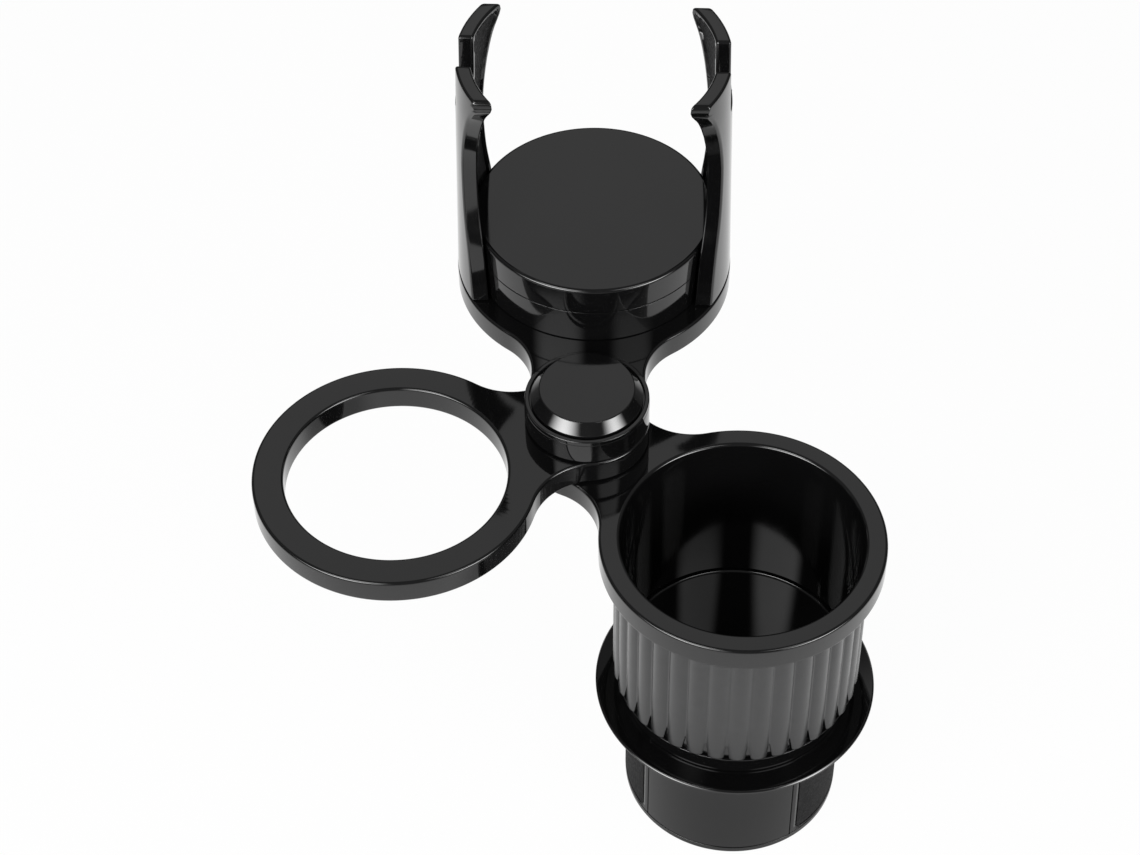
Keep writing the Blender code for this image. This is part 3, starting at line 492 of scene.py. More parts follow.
def sheet_faces(bm, grid):
    """The faces of a grid of points."""
    for lower, upper in zip(grid, grid[1:]):
        for i in range(len(lower) - 1):
            bm.faces.new((lower[i], lower[i + 1], upper[i + 1], upper[i]))


def bevel(bm, edges, offset, segments, clamp=False):
    bmesh.ops.bevel(
        bm, geom=edges, offset=offset, segments=segments, affect="EDGES", profile=0.5, clamp_overlap=clamp
    )


def evenly(low, high, count):
    return [low + (high - low) * i / count for i in range(count + 1)]


def quarter_turn(radius, steps):
    """Heights up a rounded corner, closest together where it starts."""
    return [radius * (1 - cos(pi / 2 * k / steps)) for k in range(steps + 1)]


def edge_steps(radius, steps=4):
    """(inset, drop) pairs of a rounded edge, from the flat face to the side."""
    angles = (pi / 2 * i / steps for i in range(steps + 1))
    return [(radius * (1 - sin(a)), radius * (1 - cos(a))) for a in angles]


def filleted(profile):
    """A profile of (r, z) or (r, z, radius): each corner with a radius becomes an arc."""
    points = []
    for i, corner in enumerate(profile):
        here = Vector(corner[:2])
        if len(corner) < 3:
            points.append(tuple(here))
            continue
        back = (Vector(profile[i - 1][:2]) - here).normalized()
        ahead = (Vector(profile[(i + 1) % len(profile)][:2]) - here).normalized()
        half = back.angle(ahead) / 2
        centre = here + (back + ahead).normalized() * (corner[2] / sin(half))
        first = here + back * (corner[2] / tan(half)) - centre
        last = here + ahead * (corner[2] / tan(half)) - centre
        start = atan2(first.y, first.x)
        turn = (atan2(last.y, last.x) - start + pi) % (2 * pi) - pi
        for k in range(FILLET_STEPS + 1):
            a = start + turn * k / FILLET_STEPS
            points.append((centre.x + corner[2] * cos(a), centre.y + corner[2] * sin(a)))
    return points


def spin(bm, profile, count, closed):
    """A profile spun about Z. A closed one is a ring, and an open one starts and ends on the axis."""
    rings = []
    for r, z in profile:
        if r < ON_AXIS:
            rings.append([bm.verts.new((0.0, 0.0, z))] * count)
        else:
            rings.append([bm.verts.new((x, y, z)) for x, y in circle(r, count)])
    pairs = list(zip(rings, rings[1:]))
    if closed:
        pairs.append((rings[-1], rings[0]))
    for lower, upper in pairs:
        for i in range(count):
            j = (i + 1) % count
            corners = dict.fromkeys((lower[i], lower[j], upper[j], upper[i]))
            if len(corners) > 2:
                bm.faces.new(tuple(corners))


def piece(name, bm, body, look, nodes=(), frame=None, weighted=True):
    """A finished piece: its mesh in metres, its material, the body that it rides on and its solids."""
    bmesh.ops.remove_doubles(bm, verts=bm.verts, dist=SAME_POINT)
    bmesh.ops.recalc_face_normals(bm, faces=bm.faces)
    if frame is not None:
        bmesh.ops.transform(bm, matrix=frame, verts=bm.verts)
    bmesh.ops.scale(bm, vec=(MM, MM, MM), verts=bm.verts)
    mesh = bpy.data.meshes.new(name)
    bm.to_mesh(mesh)
    bm.free()
    mesh.shade_smooth()
    mesh.set_sharp_from_angle(angle=SMOOTH_BELOW)
    mesh.materials.append(look)
    made = bpy.data.objects.new(name, mesh)
    bpy.context.scene.collection.objects.link(made)
    if weighted:
        weigh(made)
    if body:
        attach(made, body)
    if nodes:
        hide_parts(*nodes)
    return made


def weigh(made):
    """Lets the large faces set the shading beside rounded edges."""
    modifier = made.modifiers.new("face_weighted_normals", "WEIGHTED_NORMAL")
    modifier.mode = "FACE_AREA"
    modifier.weight = 60
    modifier.keep_sharp = True


def turned(name, profile, count, body, look, nodes=(), frame=None):
    """A turned piece, from a profile with fillets."""
    bm = bmesh.new()
    points = filleted(profile)
    spin(bm, points, count, closed=points[0][0] > ON_AXIS)
    return piece(name, bm, body, look, nodes, frame)


# Arms

def arm_outline(hub, end_r, direction, inset=0.0):
    """A hub and a round end joined by two concave necks, each tangent to both circles."""
    to_hub, to_end = HUB_R + NECK_R, end_r + NECK_R
    at_hub = acos((ARM_LENGTH**2 + to_hub**2 - to_end**2) / (2 * ARM_LENGTH * to_hub))
    at_end = acos((ARM_LENGTH**2 + to_end**2 - to_hub**2) / (2 * ARM_LENGTH * to_end))
    neck = (to_hub * cos(at_hub), to_hub * sin(at_hub))
    points = arc(end_r - inset, -(pi - at_end), pi - at_end, (ARM_LENGTH, 0.0), END_STEP)
    points += arc(NECK_R + inset, -at_end, at_hub - pi, neck, HUB_STEP)[1:]
    points += arc(HUB_R - inset, at_hub, 2 * pi - at_hub, (0.0, 0.0), HUB_STEP)[1:]
    points += arc(NECK_R + inset, pi - at_hub, at_end, (neck[0], -neck[1]), HUB_STEP)[1:-1]
    c, s = cos(direction), sin(direction)
    return [(hub[0] + c * x - s * y, hub[1] + s * x + c * y) for x, y in points]


def arm_end(hub, direction):
    return hub[0] + ARM_LENGTH * cos(direction), hub[1] + ARM_LENGTH * sin(direction)


def arm_side(bm, hub, end_r, direction, low, high):
    """The arm's outer side with rounded edges. Returns its lower and upper loops."""
    edge = edge_steps(ARM_EDGE)
    levels = [(arm_outline(hub, end_r, direction, i), low + d) for i, d in edge]
    levels += [(arm_outline(hub, end_r, direction, i), high - d) for i, d in reversed(edge)]
    return tube(bm, *levels)


def bore(bm, centre, count, *pairs):
    """A round hole through pairs of (r, z). Returns its first and last loops."""
    return tube(bm, *[(circle(r, count, centre), z) for r, z in pairs])


def make_cup_arm(look, hub, low, high):
    bm = bmesh.new()
    outer_low, outer_high = arm_side(bm, hub, CUP_RIM_R, CUP_DIRECTION, low, high)
    pocket_top = low + NUT_POCKET_DEEP
    bore_low, bore_high = bore(
        bm, hub, BORE_SIDES,
        (NUT_POCKET_R, low), (NUT_POCKET_R, pocket_top),
        (PIVOT_HOLE_R, pocket_top), (PIVOT_HOLE_R, high),
    )
    edge = edge_steps(CUP_INNER_EDGE, 6)
    inner = [(CUP_MOUTH_R - CUP_INNER_EDGE + i, high - d) for i, d in edge]
    inner += [(CUP_BORE_R, low), (CUP_FLOOR_R, CUP_FLOOR_Z + CUP_INNER_EDGE)]
    inner += [(CUP_FLOOR_R - i, CUP_FLOOR_Z + d) for i, d in edge[::-1][1:]]
    inner += [(r, CUP_FLOOR_Z + rise) for r, rise in GATE_MARK]
    mouth, floor = bore(bm, (0.0, 0.0), LARGE_SIDES, *inner)
    bm.faces.new(floor)
    outer = [(CUP_OUTER_R, low), (CUP_OUTER_R, CUP_UNDER_Z + CUP_CORNER)]
    outer += [(CUP_OUTER_R - i, CUP_UNDER_Z + d) for i, d in edge_steps(CUP_CORNER)[::-1][1:]]
    outer += [(CUP_BOSS_R, CUP_UNDER_Z), (CUP_BOSS_R, CUP_BOSS_Z)]
    under, boss = bore(bm, (0.0, 0.0), LARGE_SIDES, *outer)
    bm.faces.new(boss)
    fill(bm, outer_high, mouth, bore_high)
    fill(bm, outer_low, under, bore_low)
    piece("cup_and_arm", bm, "base", look, ["cup_arm"])


def make_ring_arm(look, hub, low, high):
    bm = bmesh.new()
    outer_low, outer_high = arm_side(bm, hub, RING_R, RING_DIRECTION, low, high)
    recess_top = low + WASHER_RECESS_DEEP
    bore_low, bore_high = bore(
        bm, hub, BORE_SIDES,
        (WASHER_RECESS_R, low), (WASHER_RECESS_R, recess_top),
        (PIVOT_HOLE_R, recess_top), (PIVOT_HOLE_R, high),
    )
    edge = edge_steps(ARM_EDGE)
    steps = [(RING_BORE_R + i, low + d) for i, d in edge]
    steps += [(RING_BORE_R + i, high - d) for i, d in reversed(edge)]
    ring_low, ring_high = bore(bm, arm_end(hub, RING_DIRECTION), LARGE_SIDES, *steps)
    fill(bm, outer_high, ring_high, bore_high)
    fill(bm, outer_low, ring_low, bore_low)
    piece("ring_and_arm", bm, "ring_holder", look, ["ring_arm"])


def make_platform_arm(look, hub, low, high):
    bm = bmesh.new()
    outer_low, outer_high = arm_side(bm, hub, PLATFORM_R, PLATFORM_DIRECTION, low, high)
    recess_top, bolt_seat = low + WASHER_RECESS_DEEP, low + BOLT_SEAT
    bore_low, bore_high = bore(
        bm, hub, BORE_SIDES,
        (WASHER_RECESS_R, low), (WASHER_RECESS_R, recess_top), (PIVOT_HOLE_R, recess_top),
        (PIVOT_HOLE_R, bolt_seat), (BOLT_RECESS_R, bolt_seat), (BOLT_RECESS_R, high),
    )
    lows, highs = [outer_low, bore_low], [outer_high, bore_high]
    centre = arm_end(hub, PLATFORM_DIRECTION)
    head_top = low + SCREW_HEAD_DEEP
    for x, y in oblong((-LID_SCREW_X, LID_SCREW_X), (-LID_SCREW_Y, LID_SCREW_Y)):
        hole_low, hole_high = bore(
            bm, (centre[0] + x, centre[1] + y), SCREW_SIDES,
            (SCREW_HEAD_R, low), (SCREW_HEAD_R, head_top), (SCREW_HOLE_R, head_top), (SCREW_HOLE_R, high),
        )
        lows.append(hole_low)
        highs.append(hole_high)
    fill(bm, *highs)
    fill(bm, *lows)
    piece("platform_and_arm", bm, "platform", look, ["platform_arm"])
    top = high + HUB_RIM_TALL
    rim = [
        (HUB_RIM_INNER_R, high - HUB_RIM_INNER_ROOT), (HUB_RIM_R, high - HUB_RIM_ROOT),
        (HUB_RIM_R, top, HUB_RIM_EDGE), (HUB_RIM_INNER_R, top, HUB_RIM_EDGE),
    ]
    turned("hub_rim", rim, RIM_SIDES, "platform", look, frame=upright(hub))
    root, top = high - PINION_POST_ROOT, high + PINION_POST_TALL
    post = [(0.0, root), (PINION_POST_R, root), (PINION_POST_R, top, PINION_POST_EDGE), (0.0, top)]
    turned("pinion_post", post, POST_SIDES, "platform", look, frame=upright(centre))


def make_hub_cap(look, hub):
    low, high = node_heights("hub_cap")
    roof = high - CAP_ROOF
    low_edge, side_edge, top_edge = CAP_EDGES
    profile = [
        (0.0, roof), (CAP_BORE_R, roof), (CAP_BORE_R, low), (CAP_R, low, low_edge),
        (CAP_R, low + CAP_SIDE, side_edge), (CAP_TOP_R, high, top_edge), (0.0, high),
    ]
    turned("pivot_cap", profile, LARGE_SIDES, "platform", look, ["hub_cap"], upright(hub))


# The cup's sleeve and collar

def flute_drop(phase):
    """How far the round outer surface lies below the crest, across one rib from groove to groove."""
    half = SLEEVE_CREST_R * RIB_PITCH / 2
    radius = (half**2 + FLUTE_DEEP**2) / (2 * FLUTE_DEEP)
    from_groove = max(FLUTE_VALLEY, min(phase, 1.0 - phase))
    return radius - sqrt(radius**2 - (half * (1.0 - 2.0 * from_groove)) ** 2)


def notch_edge(height):
    """Half the notch's width at a height above the sleeve's foot, with the fingers' rounded ends."""
    if height >= NOTCH_TALL:
        return 0.0
    slope = NOTCH_TIP_HALF + (NOTCH_HALF - NOTCH_TIP_HALF) * (1.0 - height / NOTCH_TALL)
    into = max(0.0, FINGER_CORNER - height)
    return slope + FINGER_CORNER - sqrt(FINGER_CORNER**2 - into**2)


def make_sleeve(look):
    """Fingers between V notches at the foot, which join into one fluted wall above them."""
    low, high = node_heights("ribbed_sleeve")
    columns = SLEEVE_COLUMNS
    heights = [*quarter_turn(FINGER_CORNER, FINGER_STEPS), *SLEEVE_ROWS, high - low]
    bm = bmesh.new()
    for rib in range(RIBS):
        sheets = []
        for outside in (True, False):
            grid = []
            for height in heights:
                share = notch_edge(height) / (SLEEVE_CREST_R * RIB_PITCH)
                foot = SLEEVE_FOOT_INSET * max(0.0, 1.0 - height / SLEEVE_FOOT_TALL) ** 2
                top = SLEEVE_TOP_INSET * max(0.0, 1.0 - (high - low - height) / SLEEVE_TOP_TALL)
                line = []
                for i in range(columns + 1):
                    phase = share + (1.0 - 2.0 * share) * i / columns
                    a = GROOVE_START + (rib + phase) * RIB_PITCH
                    r = SLEEVE_BORE_R
                    if outside:
                        r = SLEEVE_CREST_R - flute_drop(phase) - foot - top
                    line.append(bm.verts.new((r * cos(a), r * sin(a), low + height)))
                grid.append(line)
            sheets.append(grid)
            sheet_faces(bm, grid)
        outer, inner = sheets
        for row in (0, -1):
            for i in range(columns):
                bm.faces.new((outer[row][i], outer[row][i + 1], inner[row][i + 1], inner[row][i]))
        for row in range(heights.index(NOTCH_TALL)):
            for i in (0, -1):
                bm.faces.new((outer[row][i], outer[row + 1][i], inner[row + 1][i], inner[row][i]))
    piece("fluted_sleeve", bm, "twist_grip", look, ["ribbed_sleeve"], weighted=False)


def make_collar(look):
    low, high = node_heights("drive_collar")
    rim = high - TOOTH_TALL
    inner, cam_top = COLLAR_R - COLLAR_WALL, low + CAM_THICK
    profile = [
        (COLLAR_BORE_R, low), (COLLAR_R, low, 0.3), (COLLAR_R, rim - COLLAR_SLOPE, 0.8),
        (COLLAR_RIM_R, rim - COLLAR_RIM_TALL, 0.25), (COLLAR_RIM_R, rim, 0.15), (inner, rim),
        (inner, cam_top), (COLLAR_BORE_R, cam_top),
    ]
    turned("collar_ring", profile, LARGE_SIDES, "twist_grip", look, ["drive_collar"])
    reach = (SLEEVE_BORE_R + TOOTH_GAP, COLLAR_RIM_R)
    for groove in TOOTH_GROOVES:
        bm = bmesh.new()
        prism(bm, oblong(reach, (-TOOTH_HALF, TOOTH_HALF)), rim - TOOTH_ROOT, high)
        bevel(bm, list(bm.edges), TOOTH_EDGE, 2)
        frame = Matrix.Rotation(GROOVE_START + groove * RIB_PITCH, 4, "Z")
        piece(f"collar_tooth_{groove}", bm, "twist_grip", look, frame=frame)


# The base

def slab(name, rows, columns, half_angle, near, far, edge, body, look, nodes=(), frame=None):
    """A plate curved about Z: rows of points across a half angle, at two radii, with rounded edges."""
    bm = bmesh.new()

    def sheet(radius):
        grid = []
        for row in rows:
            angles = [half_angle(row) * (2 * i / columns - 1) for i in range(columns + 1)]
            grid.append([bm.verts.new((radius * cos(a), radius * sin(a), row)) for a in angles])
        return grid

    inside, outside = sheet(near), sheet(far)
    sheet_faces(bm, inside)
    sheet_faces(bm, outside)
    for j in range(len(rows) - 1):
        for i in (0, columns):
            bm.faces.new((inside[j][i], inside[j + 1][i], outside[j + 1][i], outside[j][i]))
    for j in (0, -1):
        for i in range(columns):
            bm.faces.new((inside[j][i], inside[j][i + 1], outside[j][i + 1], outside[j][i]))
    bmesh.ops.recalc_face_normals(bm, faces=bm.faces)
    if edge:
        bevel(bm, [e for e in bm.edges if e.calc_face_angle() > SHARP_ABOVE], edge, 3, clamp=True)
    return piece(name, bm, body, look, nodes, frame)


def rounded_rows(low, high, corner, count):
    """Heights of a panel with rounded corners, closer together within the corners."""
    turn = quarter_turn(corner, 6)
    middle = evenly(low + corner, high - corner, count)[1:-1]
    return [low + t for t in turn] + middle + [high - t for t in reversed(turn)]


def rounded_half(full, low, high, corner, radius):
    """The half angle of a panel at a height, less within its rounded corners."""
    def half(height):
        into = max(low + corner - height, height - high + corner, 0.0)
        return full - (corner - sqrt(max(0.0, corner**2 - into**2))) / radius
    return half


def make_base(black, rubber):
    turn = Matrix.Rotation(BASE_TURN, 4, "Z")
    shell_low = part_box("base_shell")[0][2] / MM
    profile = [
        (0.0, PLATE_LOW_Z), (BASE_R - 0.15, PLATE_LOW_Z), (BASE_R, PLATE_LOW_Z + 0.15),
        (BASE_R + 0.6, PLATE_LOW_Z + 0.4), (FLANGE_R - 1.0, FLANGE_UNDER_Z, 0.6),
        (FLANGE_R, FLANGE_SIDE_Z, 0.3), (FLANGE_R, FLANGE_TOP_Z - 0.5, 0.2),
        (FLANGE_R - 0.5, FLANGE_TOP_Z, 0.3), (FLANGE_INNER_R, FLANGE_TOP_Z - FLANGE_DISH, 0.1),
        (FLANGE_INNER_R - 0.3, PLATE_HIGH_Z), (SHELL_BOSS_R, PLATE_HIGH_Z),
        (SHELL_BOSS_R, SHELL_BOSS_Z), (0.0, SHELL_BOSS_Z),
    ]
    turned("flange", profile, LARGE_SIDES, "base", black, ["base_shell"], turn)
    panel_half = pi / 2 - WINDOW_HALF
    for name, facing in (("front", -pi / 2), ("rear", pi / 2)):
        frame = turn @ Matrix.Rotation(facing, 4, "Z")
        rows = evenly(shell_low, PLATE_LOW_Z + PANEL_INTO_PLATE, PANEL_ROWS)
        slab(
            f"{name}_panel", rows, PANEL_COLUMNS, lambda _: panel_half, BASE_R - SHELL_WALL, BASE_R,
            PANEL_EDGE, "base", black, frame=frame,
        )
    profile = [(0.0, 0.0), (BASE_R - 0.1, 0.0, 0.8), (BASE_R, COVER_THICK, 0.15), (0.0, COVER_THICK)]
    turned("base_floor", profile, LARGE_SIDES, "base", black, ["bottom_cover"], turn)
    for name, side in (("right", 0.0), ("left", pi)):
        make_foot(name, turn @ Matrix.Rotation(side, 4, "Z"), black, rubber, shell_low)


def make_foot(name, frame, black, rubber, low):
    """A wall with a seat cut for its pad, and the tongue and runner that guide it."""
    body = f"{name}_foot"
    high = FOOT_TOP_Z
    wall = slab(
        f"{name}_foot_wall", evenly(low, high, FOOT_ROWS), FOOT_COLUMNS, lambda _: FOOT_HALF,
        FOOT_INNER_R, BASE_R, PANEL_EDGE, body, black, [f"foot_{name}"], frame,
    )
    seat_low, seat_high, corner = low + SEAT_BELOW, high - SEAT_ABOVE, SEAT_CORNER
    half = FOOT_HALF - FOOT_STRIP
    rows = rounded_rows(seat_low, seat_high, corner, PAD_ROWS)
    seat_half = rounded_half(half, seat_low, seat_high, corner, BASE_R)
    seat = slab(
        f"{name}_foot_seat", rows, PAD_COLUMNS, seat_half, BASE_R - PAD_THICK, BASE_R + SEAT_OUTSIDE,
        0.0, None, black, frame=frame,
    )
    cut(wall, seat)
    pad_low, pad_high, corner = seat_low + PAD_MARGIN, seat_high - PAD_MARGIN, corner - PAD_MARGIN
    rows = rounded_rows(pad_low, pad_high, corner, PAD_ROWS)
    pad_half = rounded_half(half - PAD_MARGIN / BASE_R, pad_low, pad_high, corner, BASE_R)
    slab(
        f"{name}_foot_pad", rows, PAD_COLUMNS, pad_half, BASE_R - PAD_THICK + PAD_LIFT, BASE_R,
        PAD_EDGE, body, rubber, [f"foot_pad_{name}"], frame,
    )
    guides = (
        ("tongue", TONGUE_REACH, TONGUE_HALF, TONGUE_LOW_Z, high),
        ("runner", RUNNER_REACH, RUNNER_HALF, low, low + RUNNER_TALL),
    )
    for part, reach, half, bottom, top in guides:
        bm = bmesh.new()
        prism(bm, oblong(reach, (-half, half)), bottom, top)
        bevel(bm, list(bm.edges), GUIDE_EDGE, 2)
        piece(f"{name}_foot_{part}", bm, body, black, frame=frame)


def cut(target, cutter):
    """Cuts one piece by another, which is removed once the cut is applied."""
    weighted = target.modifiers.get("face_weighted_normals")
    target.modifiers.remove(weighted)
    modifier = target.modifiers.new("cut", "BOOLEAN")
    modifier.operation = "DIFFERENCE"
    modifier.solver = "EXACT"
    modifier.object = cutter
    bpy.context.view_layer.update()
    graph = bpy.context.evaluated_depsgraph_get()
    mesh = bpy.data.meshes.new_from_object(target.evaluated_get(graph), depsgraph=graph)
    target.modifiers.clear()
    old = target.data
    target.data = mesh
    mesh.set_sharp_from_angle(angle=SMOOTH_BELOW)
    bpy.data.meshes.remove(old)
    bpy.data.objects.remove(cutter, do_unlink=True)
    weigh(target)


# The platform's pedestal and claws

def pedestal_profile(low, high, low_edge, high_edge):
    """Half of the section of a round box that is open below."""
    inner, roof = PEDESTAL_R - PEDESTAL_WALL, high - PEDESTAL_ROOF
    return [
        (0.0, roof), (inner, roof), (inner, low), (PEDESTAL_R, low, low_edge), (PEDESTAL_R, high, high_edge),
        (0.0, high),
    ]


def make_pedestal(look, centre):
    """The drum, with the slots that its two rack bars slide out of, and the lid."""
    frame = upright(centre)
    low, high = node_heights("pedestal_drum")
    profile = pedestal_profile(low, high, DRUM_EDGE, DRUM_EDGE)
    drum = turned("drum", profile, LARGE_SIDES, "platform", look, ["pedestal_drum"], frame)
    slot_low, slot_high = low - SLOT_BELOW, node_heights("pinion")[1] + RACK_ROOM
    slot_from, slot_to = PEDESTAL_R - PEDESTAL_WALL - SLOT_INWARDS, PEDESTAL_R + SLOT_OUTWARDS
    for side in (-1, 1):
        across = sorted((side * slot_from, side * slot_to))
        along = sorted((-side * (RACK_TIP - RACK_ROOM), -side * (RACK_BACK + RACK_ROOM)))
        bm = bmesh.new()
        prism(bm, oblong(across, along), slot_low, slot_high)
        cut(drum, piece("drum_slot", bm, None, look, frame=frame))
    profile = pedestal_profile(*node_heights("pedestal_lid"), LID_LOW_EDGE, LID_TOP_EDGE)
    turned("pedestal_disc", profile, LARGE_SIDES, "platform", look, ["pedestal_lid"], frame)


def claw_half_width(height):
    """The claw's half width at a height, on a smooth curve through its named widths."""
    stations = CLAW_HALF_WIDTHS
    i = max(0, min(len(stations) - 2, sum(h <= height for h, _ in stations) - 1))
    (h0, w0), (h1, w1) = stations[i], stations[i + 1]
    before, after = stations[max(i - 1, 0)], stations[min(i + 2, len(stations) - 1)]
    slope0 = (w1 - before[1]) / (h1 - before[0])
    slope1 = (after[1] - w0) / (after[0] - h0)
    t, span = (height - h0) / (h1 - h0), h1 - h0
    return (
        w0 * (2 * t**3 - 3 * t**2 + 1) + slope0 * span * (t**3 - 2 * t**2 + t)
        + w1 * (3 * t**2 - 2 * t**3) + slope1 * span * (t**3 - t**2)
    )


def claw_shape(
    name, rows, border, near, far, corner, edge, plate_top, body, look, nodes=(), frame=None
):
    """A curved, leaning wall that follows the claw's outline, with the notch between its two prongs."""
    notch, floor = CLAW_NOTCH_HALF + border, CLAW_NOTCH_FLOOR - border
    side_columns, notch_columns = CLAW_SIDE_COLUMNS, CLAW_NOTCH_COLUMNS
    bm = bmesh.new()

    def across(row):
        width = claw_half_width(row) - border
        outer = [notch + (width - notch) * (1 - i / side_columns) for i in range(side_columns)]
        middle = [notch * (1 - 2 * i / notch_columns) for i in range(notch_columns + 1)]
        return [-y for y in outer] + [-y for y in middle] + [y for y in reversed(outer)]

    def wall(depth):
        grid = {}
        for j, row in enumerate(rows):
            radius = CLAW_OUTER_R - CLAW_THICK + depth - CLAW_LEAN * row / CLAW_TOP
            for i, y in enumerate(across(row)):
                grid[i, j] = (-sqrt(radius**2 - y**2), y, plate_top + row)
        return grid

    points = (wall(near), wall(far))
    gap = range(side_columns, side_columns + notch_columns)
    columns = 2 * side_columns + notch_columns
    verts, rims = {}, {}

    def vert(side, key):
        if (side, key) not in verts:
            verts[side, key] = bm.verts.new(points[side][key])
        return verts[side, key]

    for i in range(columns):
        for j in range(len(rows) - 1):
            if i in gap and rows[j + 1] > floor + 0.01:
                continue
            corners = [(i, j), (i + 1, j), (i + 1, j + 1), (i, j + 1)]
            for side in (0, 1):
                bm.faces.new([vert(side, key) for key in corners])
            for a, b in zip(corners, corners[1:] + corners[:1]):
                key = frozenset((a, b))
                rims[key] = None if key in rims else (a, b)
    for a, b in filter(None, rims.values()):
        bm.faces.new((vert(0, a), vert(0, b), vert(1, b), vert(1, a)))
    bmesh.ops.recalc_face_normals(bm, faces=bm.faces)
    level = rows.index(floor)
    bottoms = [bm.edges.get((verts[0, (i, level)], verts[1, (i, level)])) for i in (gap[0], gap[-1] + 1)]
    bevel(bm, bottoms, corner, 5)
    top = len(rows) - 1
    tips = [
        bm.edges.get((verts[0, (i, top)], verts[1, (i, top)]))
        for i in (0, gap[0], gap[-1] + 1, columns)
    ]
    bevel(bm, tips, corner * CLAW_TIP_SHARE, 4)
    if edge:
        sharp = [e for e in bm.edges if len(e.link_faces) == 2 and e.calc_face_angle() > SHARP_ABOVE]
        bevel(bm, sharp, edge, 4)
    return piece(name, bm, body, look, nodes, frame)


def rack_outline():
    """The toothed bar at the foot of the claw at -X, seen from above."""
    points = [(RACK_FROM, RACK_BACK), (RACK_FROM, RACK_ROOT)]
    for tooth in RACK_TEETH:
        middle = (tooth + 0.5) * RACK_TOOTH_PITCH
        points += [(middle - RACK_ROOT_HALF, RACK_ROOT), (middle - RACK_TIP_HALF, RACK_TIP)]
        points += [(middle + RACK_TIP_HALF, RACK_TIP), (middle + RACK_ROOT_HALF, RACK_ROOT)]
    end = middle + RACK_TOOTH_PITCH / 2 + RACK_END
    return points + [(end, RACK_ROOT), (end, RACK_BACK)]


def claw_rows(border, low):
    """Heights of a claw's rows above the plate, with one row at the floor of its notch."""
    floor = CLAW_NOTCH_FLOOR - border
    top = CLAW_TOP - border
    wall = evenly(low, floor - CLAW_NOTCH_ROW, CLAW_LOW_ROWS)
    prongs = evenly(floor + CLAW_NOTCH_ROW, top - CLAW_TIP_ROW, CLAW_PRONG_ROWS)
    return wall + [floor] + prongs + [top]


def make_claws(black, rubber, centre, plate_top):
    """The two claws: each a wall with a seat cut for its pad, and the rack bar at its foot."""
    inset = CLAW_BORDER + 0.3
    for name, turn in (("left", 0.0), ("right", pi)):
        frame = upright(centre) @ Matrix.Rotation(turn, 4, "Z")
        body = f"{name}_claw"
        claw = claw_shape(
            f"{name}_claw_wall", claw_rows(0.0, 0.3), border=0.0, near=CLAW_INSIDE, far=CLAW_THICK,
            corner=2.6, edge=0.8, plate_top=plate_top, body=body, look=black,
            nodes=[f"claw_{name}"], frame=frame,
        )
        seat = claw_shape(
            f"{name}_claw_seat", claw_rows(CLAW_BORDER, CLAW_PAD_FROM), border=CLAW_BORDER, near=-2.0,
            far=CLAW_PAD_DEEP, corner=2.0, edge=0.0, plate_top=plate_top, body=None, look=black,
            frame=frame,
        )
        cut(claw, seat)
        bm = bmesh.new()
        prism(bm, rack_outline(), *node_heights("pinion"))
        piece(f"{name}_claw_rack", bm, body, black, frame=frame)
        claw_shape(
            f"{name}_claw_pad", claw_rows(inset, CLAW_PAD_FROM + 0.3), border=inset, near=0.15,
            far=CLAW_PAD_DEEP - 0.1, corner=1.8, edge=0.25, plate_top=plate_top, body=body,
            look=rubber, nodes=[f"claw_pad_{name}"], frame=frame,
        )


# Small parts that keep their solids, and the stage

def dress_nodes(frame, looks):
    """Gives each solid that stays in view its material."""
    for entry in frame["record"]["subparts"]:
        node = frame["nodes"][entry["node"]]
        node.data.materials.clear()
        node.data.materials.append(looks[entry["material_slot"]])


def math_node(tree, operation, *values):
    """A Math node of numbers or other nodes' outputs."""
    made = tree.nodes.new("ShaderNodeMath")
    made.operation = operation
    for socket, value in zip(made.inputs, values):
        if isinstance(value, (int, float)):
            socket.default_value = value
        else:
            tree.links.new(value, socket)
    return made.outputs[0]


def ramped(tree, value, low, high, at_low, at_high):
    """A value's way from low to high as a smooth step from at_low to at_high."""
    made = tree.nodes.new("ShaderNodeMapRange")
    made.interpolation_type = "SMOOTHSTEP"
    for name, number in (("From Min", low), ("From Max", high), ("To Min", at_low), ("To Max", at_high)):
        made.inputs[name].default_value = number
    tree.links.new(value, made.inputs["Value"])
    return made.outputs["Result"]


